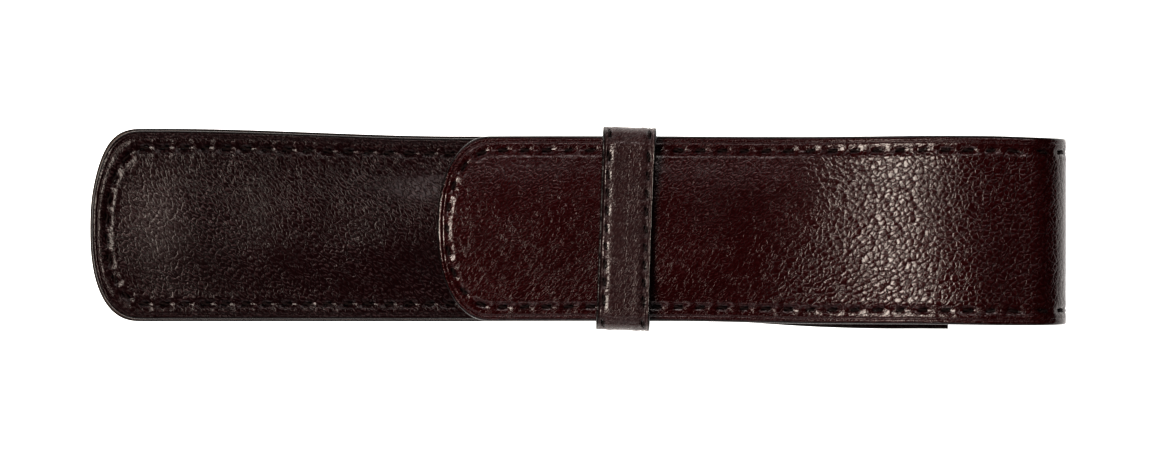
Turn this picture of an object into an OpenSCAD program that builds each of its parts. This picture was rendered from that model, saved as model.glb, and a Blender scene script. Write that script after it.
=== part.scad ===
// Slim sleeve of lined leather for one fountain pen.
// One long strip makes the back, turns over at the fold and comes back as a flap with a rounded tongue.
// A crowned front panel is sewn on the back to make the pocket, and a keeper loop round the whole sleeve
// holds the tongue down. The keeper slides along the sleeve and the fold opens until the strip is flat.
// +X runs from the closed end to the fold and +Z is up. The origin is at the middle of the footprint, on
// the surface that the sleeve lies on. Lengths along the sleeve are counted from its closed end.

/* [Case] */
// Length from the closed end to the outside of the fold
case_l = 165; // [160:1:175]
// Width of the back strip and the pocket
case_w = 31.4; // [30:0.2:36]
// How far the rounding of the closed end reaches along the sleeve
end_round = 8.5; // [7:0.5:12]
// Squareness of the rounded ends, where 2 is an ellipse
end_power = 2.4; // [2:0.1:3]

/* [Leather] */
// Thickness of the outer leather
leather_t = 1.1; // [0.9:0.1:1.3]
// Thickness of the lining
lining_t = 0.7; // [0.5:0.1:0.9]
// Air between leathers that move past each other
slip = 0.25; // [0.2:0.05:0.4]

/* [Pocket] */
// How much the front panel rises over its sewn margins
crown_h = 1.6; // [1.4:0.1:2.4]
// Width of the flat sewn margin
margin_w = 3.2; // [3:0.1:4]
// Width of the curve from the margin up to the crown
crown_ramp = 10; // [8:0.5:11]
// Distance from the pocket's mouth to the outside of the fold
mouth_back = 19.5; // [16:0.5:24]
// How far the front panel's edge stands back from the back panel's edge
front_inset = 0.4; // [0.2:0.1:0.8]

/* [Flap] */
// Outer radius of the fold
fold_r = 6.6; // [6:0.1:7.4]
// Length from the outside of the fold to the tip of the tongue
flap_l = 106; // [95:1:115]
// Width of the flap
flap_w = 31.2; // [29.6:0.2:35.6]
// How far the rounding of the tongue reaches along the flap
tip_round = 9; // [7:0.5:12]
// How far the flap's long edges bend down where the keeper holds it
edge_droop = 1.6; // [0.8:0.1:1.8]
// Where the flap starts to come down from the fold, counted from the outside of the fold
slope_start = 13.5; // [11:0.1:18]
// Where the flap lies flat on the pocket, counted from the outside of the fold
slope_end = 56; // [48:0.5:66]

/* [Keeper] */
// Width of the keeper loop
keeper_w = 9; // [7:0.5:12]
// Thickness of the keeper's outer leather
keeper_band_t = 0.7; // [0.6:0.05:0.8]
// Thickness of the keeper's lining
keeper_lining_t = 0.4; // [0.3:0.05:0.5]
// Distance from the closed end to the middle of the keeper
keeper_x = 91; // [85:0.5:95]
// How far the keeper's +Y end leans towards the fold, in degrees
keeper_lean = 1.85; // [0:0.05:2]
// Air between the keeper and the sleeve's long edges
keeper_side = 0.25; // [0.25:0.05:0.8]

/* [Stitching] */
// Thickness of the thread
thread_d = 0.6; // [0.4:0.05:0.7]
// Length of one stitch
stitch_l = 2.4; // [1.8:0.1:2.6]
// Distance between stitches on the pocket
pocket_pitch = 3.45; // [3.2:0.05:4.5]
// Distance between stitches on the flap
flap_pitch = 3.7; // [3.2:0.05:4.5]
// Distance between stitches on the keeper
keeper_pitch = 3; // [2.8:0.05:3.5]

/* [Hidden] */
link_count = 5;                 // stiff pieces that stand in for the bending fold
link_gap = 0.1;                 // slit between two of them
seam_in = 2.6;                  // pocket seam to edge
flap_seam_in = 2.4;             // flap seam to its long edges
tip_seam_in = 1.7;              // flap seam to the tip of the tongue
keeper_seam_in = 1.15;          // keeper seams to its edges
thread_show = 0.1;              // how far a stitch stands out of the leather
keeper_top_r = 3.4;             // bend of the keeper over the flap's edges
keeper_bottom_r = 1.3;          // bend of the keeper under the back's edges
under_slip = 0.2;               // air between the back strip and the keeper under it
keeper_right_travel = 15;       // how far the keeper slides towards the fold
end_ramp = 14;                  // curve from the closed end's margin up to the crown
tip_power = 2.2;                // squareness of the tongue's rounding
droop_power = 2.2;              // how late across the flap its long edges start to bend down
slope_power = 1.35;              // how late along the flap it starts to rise towards the fold
join_row = 1.7;                 // middle of the keeper to the two stitches of each join row

strip_t = leather_t + lining_t;
keeper_t = keeper_band_t + keeper_lining_t;
back_z = keeper_t + under_slip;                 // underside of the back strip
floor_z = back_z + strip_t;                     // floor of the pocket
margin_z = floor_z + strip_t;                   // top of the sewn margins
tongue_z = margin_z + crown_h + slip + strip_t; // top of the flap on the pocket
keeper_z = tongue_z + slip + keeper_t;          // top of the keeper
fold_z = back_z + 2 * fold_r;                   // top of the fold
fold_x = case_l - fold_r;                       // centre of the fold
mouth_x = case_l - mouth_back;
tip_x = case_l - flap_l;
front_w = case_w - 2 * front_inset;
keeper_half = case_w / 2 + keeper_side + keeper_t;
tongue_x = keeper_x + keeper_w / 2 + keeper_right_travel + 1; // where the tongue joins the flap
link_angle = 180 / link_count;
thread_r = thread_d / 2;

brown = [0.13, 0.09, 0.09];
oxblood = [0.20, 0.05, 0.06];
band_brown = [0.20, 0.14, 0.14];
lining_brown = [0.16, 0.11, 0.09];
thread_brown = [0.10, 0.06, 0.06];

FOLD_NODES = [for (k = [1:link_count]) for (part = ["leather", "lining", "thread"])
    str("fold_", part, "_", k)];
$fn = 48;

// ---- forms ----

// 0 to 1 with a soft start and a soft stop
function smooth(t) = let (u = min(1, max(0, t))) u * u * (3 - 2 * u);

// Height of the front panel's outer face
function front_form(x, y) = margin_z
    + crown_h * smooth((front_w / 2 - abs(y) - margin_w) / crown_ramp) * smooth((x - margin_w) / end_ramp);

// 1 at the fold, 0 where the flap lies on the pocket
function slope_share(x) =
    smooth(pow(max(0, (x - case_l + slope_end) / (slope_end - slope_start)), slope_power));

// Height of the flap's outer face
function flap_form(x, y) = tongue_z + (fold_z - tongue_z) * slope_share(x)
    - edge_droop * (1 - slope_share(x)) * pow(min(1, abs(y) / (flap_w / 2)), droop_power);

// Stations [x, half width] round an end at x = tip that is rounded over a length
function rounded(tip, length, half, power, steps) = [for (k = [1:steps])
    let (a = 90 * k / steps)
    [tip + length * (1 - pow(cos(a), 2 / power)), half * pow(sin(a), 2 / power)]];

// Stations at even steps from x = from, up to and with x = to
function even(from, to, steps, half) = [for (k = [1:steps]) [from + (to - from) * k / steps, half]];

// Plan outline that goes round a list of stations
function outline(rows) = concat(
    [for (r = rows) [r[0], r[1]]],
    [for (i = [len(rows) - 1:-1:0]) [rows[i][0], -rows[i][1]]]);

back_rows = concat(rounded(0, end_round, case_w / 2, end_power, 10), [[fold_x - link_gap / 2, case_w / 2]]);
front_rows = concat(
    rounded(front_inset, end_round, front_w / 2, end_power, 8),
    even(front_inset + end_round, margin_w + end_ramp, 5, front_w / 2),
    [[mouth_x, front_w / 2]]);
tongue_rows = concat(
    rounded(tip_x, tip_round, flap_w / 2, tip_power, 9),
    [[tongue_x - link_gap / 2, flap_w / 2]]);
flap_rows = concat(
    [[tongue_x + link_gap / 2, flap_w / 2]],
    even(tongue_x + link_gap / 2, case_l - slope_start, 12, flap_w / 2),
    [[fold_x - link_gap / 2, flap_w / 2]]);

// ---- makers ----

// Puts lengths counted from the closed end about the origin
module in_place() {
    translate([-case_l / 2, 0, 0]) children();
}

// One layer of a formed sheet over a list of stations, between two depths under form(x, y)
module formed_layer(rows, across, form, upper, lower) {
    wide = across + 1;
    below = len(rows) * wide;
    last = below - wide;
    points = [for (depth = [upper, lower]) for (r = rows) for (j = [0:across])
        let (y = r[1] * (2 * j / across - 1))
        [r[0], y, form(r[0], y) - depth]];
    cells = [for (i = [0:len(rows) - 2]) for (j = [0:across - 1]) i * wide + j];
    tops = [for (a = cells) each [[a, a + 1, a + wide + 1], [a, a + wide + 1, a + wide]]];
    bottoms = [for (f = tops) [f[2] + below, f[1] + below, f[0] + below]];
    near = [for (i = [0:len(rows) - 2]) let (a = i * wide)
        [a, a + wide, a + wide + below, a + below]];
    far = [for (i = [0:len(rows) - 2]) let (a = i * wide + across)
        [a + wide, a, a + below, a + wide + below]];
    start = [for (j = [0:across - 1]) [j + 1, j, j + below, j + 1 + below]];
    end = [for (j = [0:across - 1])
        [last + j, last + j + 1, last + j + 1 + below, last + j + below]];
    polyhedron(points, concat(tops, bottoms, near, far, start, end), convexity = 6);
}

// One layer of flat strip over a list of stations
module flat_layer(rows, low, thick) {
    translate([0, 0, low]) linear_extrude(thick) polygon(outline(rows));
}

// One stitch, its middle at the origin, that climbs along +X by an angle
module stitch(climb = 0) {
    rotate([0, 90 - climb, 0]) cylinder(h = stitch_l, r = thread_r, center = true);
}

// Distance along a path at each of its points
function run(path) = [for (i = 0, d = 0; i < len(path);
    i = i + 1, d = i < len(path) ? d + norm(path[i] - path[i - 1]) : d) d];

// Places [x, y, heading] at even steps along a path
function marks(path, pitch) = let (
        far = run(path),
        total = far[len(far) - 1],
        count = floor(total / pitch))
    [for (n = [0:count - 1])
        let (
            s = (total - (count - 1) * pitch) / 2 + n * pitch,
            i = max([for (k = [0:len(path) - 2]) if (far[k] <= s) k]),
            step = path[i + 1] - path[i],
            p = path[i] + step * (s - far[i]) / norm(step))
        [p[0], p[1], atan2(step[1], step[0])]];

// Stitches at marks, on the face form(x, y), where side is 1 on an upper face and -1 on an under face
module stitches(places, form, side) {
    for (p = places) {
        reach = [cos(p[2]), sin(p[2])] * stitch_l / 2;
        rise = form(p[0] + reach[0], p[1] + reach[1]) - form(p[0] - reach[0], p[1] - reach[1]);
        translate([p[0], p[1], form(p[0], p[1]) + side * (thread_show - thread_r)])
            rotate([0, 0, p[2]]) stitch(atan2(rise, stitch_l));
    }
}

// Path of a seam that stands back from a rounded outline, from one long side round the end to the other
function seam_path(tip, length, half, power, side_in, tip_in, to) = let (
        round_part = rounded(tip + tip_in, length - tip_in / 2, half - side_in, power, 12),
        half_path = concat(round_part, [[to, half - side_in]]))
    concat(
        [for (i = [len(half_path) - 1:-1:0]) [half_path[i][0], half_path[i][1]]],
        [for (p = half_path) [p[0], -p[1]]]);

pocket_marks = marks(
    seam_path(front_inset, end_round, front_w / 2, end_power, seam_in, seam_in, fold_x - 1), pocket_pitch);
flap_marks = marks(
    seam_path(tip_x, tip_round, flap_w / 2, tip_power, flap_seam_in, tip_seam_in, fold_x - 0.5), flap_pitch);
hem_marks = marks(
    [[mouth_x - seam_in, seam_in - case_w / 2], [mouth_x - seam_in, case_w / 2 - seam_in]], pocket_pitch);

// Marks whose stitches lie between two lengths
function between(places, low, high) = [for (p = places)
    if (p[0] > low + stitch_l / 2 && p[0] < high - stitch_l / 2) p];

// A piece of the fold's strip, k from 1 at the back to link_count at the flap, between two radii
module fold_piece(k, inner, outer) {
    slit = link_gap / fold_r * 90 / PI;
    translate([fold_x, 0, back_z + fold_r])
        rotate([90, 0, 0])
        rotate([0, 0, (k - 1) * link_angle - 90 + slit])
        rotate_extrude(angle = link_angle - 2 * slit, $fn = 96)
        translate([inner, -flap_w / 2]) square([outer - inner, flap_w]);
}

// The stitches through one piece of the fold
module fold_stitches(k) {
    for (side = [-1, 1]) for (radius = [fold_r + thread_show - thread_r,
            fold_r - strip_t - thread_show + thread_r])
        translate([fold_x, side * (flap_w / 2 - flap_seam_in), back_z + fold_r])
            rotate([0, 90 - (k - 0.5) * link_angle, 0])
            translate([radius, 0, 0])
            cylinder(h = stitch_l * radius / fold_r, r = thread_r, center = true);
}

// Outline of the keeper loop across the sleeve, drawn in by a depth
module keeper_outline(depth) {
    half = keeper_half - depth;
    top_r = keeper_top_r - depth;
    bottom_r = keeper_bottom_r - depth;
    polygon(concat(
        corner(half - top_r, keeper_z - depth - top_r, top_r, 0),
        corner(top_r - half, keeper_z - depth - top_r, top_r, 90),
        corner(bottom_r - half, depth + bottom_r, bottom_r, 180),
        corner(half - bottom_r, depth + bottom_r, bottom_r, 270)));
}

// A quarter of a circle that starts at an angle
function corner(y, z, r, start) = [for (k = [0:8])
    let (a = start + 90 * k / 8)
    [y + r * cos(a), z + r * sin(a)]];

// Puts a shape drawn across the sleeve, with +X to +Y and +Y to +Z, at the keeper's place
module at_keeper(along = 0) {
    in_place() translate([keeper_x, 0, 0]) rotate([0, 0, -keeper_lean])
        translate([along, 0, 0]) rotate([90, 0, 90]) children();
}

// One layer of the keeper loop, between two depths
module keeper_layer(outer, inner) {
    at_keeper() linear_extrude(keeper_w, center = true) difference() {
        keeper_outline(outer);
        keeper_outline(inner);
    }
}

// One seam round the keeper: stitches over the top, at the bends, down the sides and under the bottom
module keeper_seam(along) {
    sink = thread_r - thread_show;
    count = 2 * floor((keeper_half - keeper_top_r) / keeper_pitch);
    bend = keeper_top_r - sink;
    side_h = keeper_z - keeper_top_r - keeper_bottom_r;
    at_keeper(along) {
        for (n = [-count / 2:count / 2])
            translate([n * keeper_pitch, keeper_z - sink, 0]) stitch();
        for (n = [-count / 2:count / 2])
            translate([n * keeper_pitch, thread_r, 0]) stitch();
        for (side = [-1, 1]) {
            translate([side * (keeper_half - keeper_top_r + bend * sin(45)),
                    keeper_z - keeper_top_r + bend * cos(45), 0])
                rotate([0, 0, -45 * side]) stitch();
            for (n = [0:1])
                translate([side * (keeper_half - sink), keeper_bottom_r + side_h * (n + 0.5) / 2, 0])
                    rotate([0, 0, 90]) stitch();
        }
    }
}

// ---- parts ----

module back_panel() {
    color(oxblood) in_place() flat_layer(back_rows, back_z, leather_t);
}

module back_lining() {
    color(lining_brown) in_place() flat_layer(back_rows, back_z + leather_t, lining_t);
}

module front_panel() {
    color(brown) in_place()
        formed_layer(front_rows, 20, function (x, y) front_form(x, y), 0, leather_t);
}

module front_lining() {
    color(lining_brown) in_place()
        formed_layer(front_rows, 20, function (x, y) front_form(x, y), leather_t, strip_t);
}

module pocket_seam_thread() {
    places = between(pocket_marks, -stitch_l, mouth_x);
    color(thread_brown) in_place() {
        stitches(places, function (x, y) margin_z, 1);
        stitches(places, function (x, y) back_z, -1);
    }
}

module throat_seam_thread() {
    places = between(pocket_marks, mouth_x, fold_x);
    color(thread_brown) in_place() {
        stitches(places, function (x, y) floor_z, 1);
        stitches(places, function (x, y) back_z, -1);
    }
}

module mouth_hem_thread() {
    places = [for (p = hem_marks) if (abs(p[1]) < front_w / 2 - 2 * seam_in) p];
    color(thread_brown) in_place() {
        stitches(places, function (x, y) front_form(x, y), 1);
        stitches(places, function (x, y) front_form(x, y) - strip_t, -1);
    }
}

module fold_leather(k) {
    color(oxblood) in_place() fold_piece(k, fold_r - leather_t, fold_r);
}

module fold_lining(k) {
    color(lining_brown) in_place() fold_piece(k, fold_r - strip_t, fold_r - leather_t);
}

module fold_thread(k) {
    color(thread_brown) in_place() fold_stitches(k);
}

module flap_leather() {
    color(oxblood) in_place()
        formed_layer(flap_rows, 12, function (x, y) flap_form(x, y), 0, leather_t);
}

module flap_lining() {
    color(lining_brown) in_place()
        formed_layer(flap_rows, 12, function (x, y) flap_form(x, y), leather_t, strip_t);
}

module flap_thread() {
    places = between(flap_marks, tongue_x, fold_x);
    color(thread_brown) in_place() {
        stitches(places, function (x, y) flap_form(x, y), 1);
        stitches(places, function (x, y) flap_form(x, y) - strip_t, -1);
    }
}

module tongue_leather() {
    color(oxblood) in_place()
        formed_layer(tongue_rows, 12, function (x, y) flap_form(x, y), 0, leather_t);
}

module tongue_lining() {
    color(lining_brown) in_place()
        formed_layer(tongue_rows, 12, function (x, y) flap_form(x, y), leather_t, strip_t);
}

module tongue_thread() {
    places = between(flap_marks, tip_x - stitch_l, tongue_x);
    color(thread_brown) in_place() {
        stitches(places, function (x, y) flap_form(x, y), 1);
        stitches(places, function (x, y) flap_form(x, y) - strip_t, -1);
    }
}

module keeper_band() {
    color(band_brown) keeper_layer(0, keeper_band_t);
}

module keeper_lining() {
    color(lining_brown) keeper_layer(keeper_band_t, keeper_t);
}

module keeper_seam_left() {
    color(thread_brown) keeper_seam(keeper_seam_in - keeper_w / 2);
}

module keeper_seam_right() {
    color(thread_brown) keeper_seam(keeper_w / 2 - keeper_seam_in);
}

// Two short rows under the sleeve, where the two ends of the band are sewn together
module keeper_join_thread() {
    color(thread_brown) at_keeper()
        for (row = [-1, 1]) for (half = [-1, 1])
            translate([row * keeper_pitch / 2, thread_r, half * join_row]) rotate([0, 90, 0]) stitch();
}

back_panel();
back_lining();
front_panel();
front_lining();
pocket_seam_thread();
throat_seam_thread();
mouth_hem_thread();
for (k = [1:link_count]) {
    fold_leather(k);
    fold_lining(k);
    fold_thread(k);
}
flap_leather();
flap_lining();
flap_thread();
tongue_leather();
tongue_lining();
tongue_thread();
keeper_band();
keeper_lining();
keeper_seam_left();
keeper_seam_right();
keeper_join_thread();
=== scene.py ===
"""Slim sleeve of lined leather for one fountain pen, dressed for a studio table.

A long strip makes the back, turns over at the fold and comes back as a flap with a rounded tongue. A gently
raised front panel is sewn on the back to make the pocket, and a keeper loop round it all holds the tongue.
Sizes are in millimetres until a mesh is made. Lengths along the sleeve are counted from its closed end.
"""

from __future__ import annotations

import logging
import math
from dataclasses import dataclass
from enum import Enum
from typing import Callable, Sequence

import bmesh
import bpy
import numpy as np
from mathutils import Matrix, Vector

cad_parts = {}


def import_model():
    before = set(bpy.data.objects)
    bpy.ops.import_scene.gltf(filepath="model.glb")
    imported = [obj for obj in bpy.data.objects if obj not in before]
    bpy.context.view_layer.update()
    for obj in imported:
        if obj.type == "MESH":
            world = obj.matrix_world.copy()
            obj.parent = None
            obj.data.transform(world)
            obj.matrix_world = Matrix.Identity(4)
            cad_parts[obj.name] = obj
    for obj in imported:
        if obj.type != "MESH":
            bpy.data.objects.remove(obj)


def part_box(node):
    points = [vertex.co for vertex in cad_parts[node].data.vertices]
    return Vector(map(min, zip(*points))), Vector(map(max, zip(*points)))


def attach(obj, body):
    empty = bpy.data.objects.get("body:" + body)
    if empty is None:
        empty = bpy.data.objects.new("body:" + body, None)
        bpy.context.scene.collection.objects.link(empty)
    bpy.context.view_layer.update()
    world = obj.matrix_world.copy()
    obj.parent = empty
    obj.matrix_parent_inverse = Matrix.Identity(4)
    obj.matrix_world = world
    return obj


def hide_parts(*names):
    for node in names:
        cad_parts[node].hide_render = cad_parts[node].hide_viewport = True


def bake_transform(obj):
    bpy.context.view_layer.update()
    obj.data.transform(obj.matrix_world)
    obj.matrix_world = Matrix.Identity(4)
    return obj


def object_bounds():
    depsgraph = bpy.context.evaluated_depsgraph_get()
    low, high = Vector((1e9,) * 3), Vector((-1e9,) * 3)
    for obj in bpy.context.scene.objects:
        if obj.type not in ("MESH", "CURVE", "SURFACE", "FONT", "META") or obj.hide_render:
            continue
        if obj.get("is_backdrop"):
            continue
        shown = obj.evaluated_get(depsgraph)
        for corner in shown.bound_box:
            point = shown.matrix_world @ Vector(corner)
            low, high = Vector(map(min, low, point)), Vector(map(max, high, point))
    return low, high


MM = 0.001
# Where pieces lie on the flat sheet of the grain, so that no two show the same stretch of it
LINING_AWAY = 300.0
POCKET_AWAY = 420.0
KEEPER_AWAY = 900.0
# Points looked up at once along a seam, distance between its samples, and a distance beyond every seam
BLOCK = 4000
SEAM_STEP = 0.3
FAR_OFF = 50.0
# Stitches whose pull is drawn, and how far beside a seam the leather is drawn in
PULLS = 4096
PUCKER_REACH = 4
# Width beside a cut edge over which the unevenness fades out
EDGE_FADE = 0.8
# Thickness of the keeper's lining as a share of its band's
KEEPER_LINING_SHARE = 4.0 / 7.0
# Base of the soft humps in the edge finish
HUMP_BASE = 2.718
log = logging.getLogger("pen_sleeve")

Array = np.ndarray
Place = Callable[[Array, Array, Array], Array]
Rise = Callable[[Array, Array], Array]


class Side(Enum):
    """Which face of a strip shows: the outer leather or the inner lining."""

    OUTER = "outer"
    INNER = "inner"


class Slot(Enum):
    """The material slots of the part."""

    FLAP = "flap_leather"
    POCKET = "pocket_leather"
    KEEPER = "keeper_leather"
    LINING = "lining"
    THREAD = "thread"
    KEEPER_THREAD = "keeper_thread"


# ---------------------------------------------------------------- forms


def smooth(t: Array) -> Array:
    """Rises from 0 to 1 with a soft start and a soft stop."""
    u = np.clip(t, 0.0, 1.0)
    return u * u * (3.0 - 2.0 * u)


def bell(t: Array) -> Array:
    """A soft hump of height 1 about 0, about 1 wide to each side."""
    return np.exp(-t * t)


@dataclass(frozen=True)
class Ripples:
    """Soft unevenness of a hand-made surface: a few long waves in seeded directions.

    Args:
        seed: picks the waves.
        height: height of the waves.
        length: shortest wave length.
        count: number of waves.
    """

    seed: int
    height: float
    length: float
    count: int = 7

    def __call__(self, along: Array, across: Array) -> Array:
        """Height of the unevenness at points of the flat sheet.

        Args:
            along: lengths along the sheet.
            across: lengths across it.

        Returns:
            A height for each point.
        """
        rng = np.random.default_rng(self.seed)
        total = np.zeros(np.broadcast(along, across).shape)
        for _ in range(self.count):
            turn = rng.uniform(0, math.tau)
            wave = self.length * rng.uniform(1.0, 3.2)
            phase = rng.uniform(0, math.tau)
            reach = (along * math.cos(turn) + across * math.sin(turn)) / wave
            total += np.sin(math.tau * reach + phase) * wave
        return total * self.height / (self.length * self.count)


@dataclass(frozen=True)
class Measures:
    """The sleeve's sizes, read from the boxes of its parts."""

    half_l: float
    case_l: float
    case_half: float
    front_half: float
    flap_half: float
    leather: float
    lining: float
    back_z: float
    margin_z: float
    crown: float
    tongue_z: float
    fold_z: float
    mouth_x: float
    tip_x: float
    front_tip: float
    keeper_z: float
    keeper_half: float
    keeper_band: float
    keeper_lining: float
    keeper_x: float

    @classmethod
    def read(cls) -> "Measures":
        """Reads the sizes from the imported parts.

        Returns:
            The sizes in millimetres, with lengths counted from the closed end.
        """
        low, high = {}, {}
        for node in ("back_panel", "back_lining", "front_panel", "flap_leather",
                     "fold_leather_3", "tongue_leather", "keeper_band", "keeper_lining"):
            low[node], high[node] = (np.array(corner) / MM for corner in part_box(node))
        half_l = high["fold_leather_3"][0]
        lining = high["back_lining"][2] - low["back_lining"][2]
        leather = high["back_panel"][2] - low["back_panel"][2]
        band = low["keeper_lining"][2] - low["keeper_band"][2]
        return cls(
            half_l=half_l,
            case_l=2 * half_l,
            case_half=high["back_panel"][1],
            front_half=high["front_panel"][1],
            flap_half=high["flap_leather"][1],
            leather=leather,
            lining=lining,
            back_z=low["back_panel"][2],
            margin_z=low["front_panel"][2] + leather,
            crown=high["front_panel"][2] - low["front_panel"][2] - leather,
            tongue_z=high["tongue_leather"][2],
            fold_z=high["flap_leather"][2],
            mouth_x=high["front_panel"][0] + half_l,
            tip_x=low["tongue_leather"][0] + half_l,
            front_tip=low["front_panel"][0] + half_l,
            keeper_z=high["keeper_band"][2],
            keeper_half=high["keeper_band"][1],
            keeper_band=band,
            keeper_lining=band * KEEPER_LINING_SHARE,
            keeper_x=(low["keeper_band"][0] + high["keeper_band"][0]) / 2 + half_l,
        )

    @property
    def strip(self) -> float:
        """Thickness of leather and lining together."""
        return self.leather + self.lining

    @property
    def fold_r(self) -> float:
        """Outer radius of the fold."""
        return (self.fold_z - self.back_z) / 2

    @property
    def fold_x(self) -> float:
        """Centre of the fold."""
        return self.case_l - self.fold_r


# ---------------------------------------------------------------- seams


@dataclass
class Seam:
    """A row of stitches along a path on the flat sheet.

    Args:
        path: points of the path.
        pitch: distance between stitches.
        at: run lengths of the stitches along the path.
    """

    path: Array
    pitch: float
    at: Array

    @classmethod
    def even(cls, path: Array, pitch: float) -> "Seam":
        """A seam with stitches at even steps, centred on the path.

        Args:
            path: points of the path.
            pitch: distance between stitches.

        Returns:
            The seam.
        """
        total = run_of(path)[-1]
        count = int(total // pitch)
        first = (total - (count - 1) * pitch) / 2
        return cls(path, pitch, first + pitch * np.arange(count))

    def marks(self) -> Array:
        """Places and headings of the stitches, one row of along, across and angle each."""
        run = run_of(self.path)
        x = np.interp(self.at, run, self.path[:, 0])
        y = np.interp(self.at, run, self.path[:, 1])
        ahead_x = np.interp(self.at + 0.2, run, self.path[:, 0])
        ahead_y = np.interp(self.at + 0.2, run, self.path[:, 1])
        behind_x = np.interp(self.at - 0.2, run, self.path[:, 0])
        behind_y = np.interp(self.at - 0.2, run, self.path[:, 1])
        return np.c_[x, y, np.arctan2(ahead_y - behind_y, ahead_x - behind_x)]

    def across(self, along: Array, across: Array) -> tuple[Array, Array]:
        """Where points lie about the seam.

        Args:
            along: lengths along the sheet.
            across: lengths across it.

        Returns:
            The stitch number, whole at each stitch, and the distance to the side of the seam.
        """
        run = run_of(self.path)
        steps = int(run[-1] / SEAM_STEP)
        s = np.linspace(0, run[-1], steps)
        px, py = np.interp(s, run, self.path[:, 0]), np.interp(s, run, self.path[:, 1])
        tx, ty = np.gradient(px, s), np.gradient(py, s)
        points = np.c_[along.ravel(), across.ravel()]
        number = np.empty(len(points))
        off = np.empty(len(points))
        for start in range(0, len(points), BLOCK):
            block = points[start:start + BLOCK]
            gap = (block[:, :1] - px) ** 2 + (block[:, 1:] - py) ** 2
            near = gap.argmin(1)
            dx, dy = block[:, 0] - px[near], block[:, 1] - py[near]
            ahead = dx * tx[near] + dy * ty[near]
            off[start:start + BLOCK] = dx * ty[near] - dy * tx[near]
            number[start:start + BLOCK] = s[near] + ahead
        first, last = self.at[0], self.at[-1]
        count = len(self.at)
        inner = np.interp(number, self.at, np.arange(count))
        inner = np.where(number < first, (number - first) / self.pitch, inner)
        inner = np.where(number > last, count - 1 + (number - last) / self.pitch, inner)
        return inner.reshape(along.shape), off.reshape(along.shape)


def run_of(path: Array) -> Array:
    """Distance along a path at each of its points."""
    return np.r_[0.0, np.cumsum(np.hypot(*np.diff(path, axis=0).T))]


def rounded_half(tip: float, reach: float, half: float, power: float, end: float) -> Array:
    """One side of a strip with a rounded end.

    Args:
        tip: where the rounded end stops.
        reach: how far the rounding goes along the strip.
        half: half the strip's width.
        power: squareness of the rounding, where 2 is an ellipse.
        end: the strip's straight end.

    Returns:
        Points from the straight end, along the +Y side, to the tip.
    """
    a = np.linspace(0, math.pi / 2, 600)[::-1]
    x = tip + reach * (1 - np.abs(np.cos(a)) ** (2 / power))
    y = half * np.abs(np.sin(a)) ** (2 / power)
    return np.vstack([[[end, half]], np.c_[x, y]])


def seam_round(tip: float, reach: float, half: float, power: float,
               side_in: float, tip_in: float, end: float) -> Array:
    """Path of a seam that stands back from a rounded outline.

    Args:
        tip: where the outline's rounded end stops.
        reach: how far the rounding goes along the strip.
        half: half the strip's width.
        power: squareness of the rounding.
        side_in: distance from the seam to the long edges.
        tip_in: distance from the seam to the tip.
        end: where the seam stops on both sides.

    Returns:
        Points from the +Y side, round the end, to the -Y side.
    """
    side = rounded_half(tip + tip_in, reach - tip_in / 2, half - side_in, power, end)
    return np.vstack([side, side[-2::-1] * [1, -1]])


@dataclass(frozen=True)
class Pucker:
    """How a row of stitches draws the leather down and makes it swell between and beside them.

    Args:
        dip: depth at a stitch.
        swell: height of the swelling beside the stitches.
        width: half width of the dip.
        seed: picks how much each stitch differs.
        uneven: how much one stitch differs from the next.
    """

    dip: float = 0.30
    swell: float = 0.06
    width: float = 0.50
    seed: int = 3
    uneven: float = 0.35

    def __call__(self, number: Array, off: Array) -> Array:
        """Height of the leather about a seam.

        Args:
            number: stitch number of each point.
            off: distance of each point to the side of the seam.

        Returns:
            A height for each point.
        """
        rng = np.random.default_rng(self.seed)
        pull = 1 + self.uneven * rng.uniform(-1, 1, PULLS)
        here = pull[np.mod(np.round(number).astype(int), PULLS)]
        beat = np.cos(math.pi * number) ** 2
        down = -self.dip * here * bell(off / self.width) * (0.30 + 0.70 * beat)
        side = self.swell * here * bell((np.abs(off) - 1.15) / 0.45) * (0.35 + 0.65 * (1 - beat))
        return down + side


# ---------------------------------------------------------------- meshes


@dataclass
class Cloth:
    """Points and faces of one piece in the making, with what its finish needs to know of each point.

    Args:
        points: places in millimetres.
        faces: corner numbers of the faces.
        flat: place on the flat sheet, along and across.
        rim: distance to the cut edge.
        seam: stitch number and distance to the side of the seam.
        round: share of round pebbles in the grain.
    """

    points: Array
    faces: list[Sequence[int]]
    flat: Array
    rim: Array
    seam: Array
    round: Array | None = None

    def make(self, name: str, sharp: float = 55.0) -> bpy.types.Object:
        """Makes the piece.

        Args:
            name: name of the piece.
            sharp: angle in degrees from which an edge is left hard.

        Returns:
            The new object, in metres in the part's frame.
        """
        mesh = bpy.data.meshes.new(name)
        mesh.from_pydata((self.points * MM).tolist(), [], [list(f) for f in self.faces])
        write_floats(mesh, "rim", self.rim)
        write_vectors(mesh, "flat", np.c_[self.flat, np.zeros(len(self.flat))])
        write_vectors(mesh, "seam", np.c_[self.seam, np.zeros(len(self.seam))])
        write_floats(mesh, "round", np.zeros(len(self.rim)) if self.round is None else self.round)
        work = bmesh.new()
        work.from_mesh(mesh)
        bmesh.ops.recalc_face_normals(work, faces=work.faces)
        work.to_mesh(mesh)
        work.free()
        mesh.shade_smooth()
        mesh.set_sharp_from_angle(angle=math.radians(sharp))
        piece = bpy.data.objects.new(name, mesh)
        bpy.context.scene.collection.objects.link(piece)
        return piece


def write_floats(mesh: bpy.types.Mesh, name: str, values: Array) -> None:
    """Stores one number for each point of a mesh."""
    layer = mesh.attributes.new(name, "FLOAT", "POINT")
    layer.data.foreach_set("value", np.asarray(values, np.float32).ravel())


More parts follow.
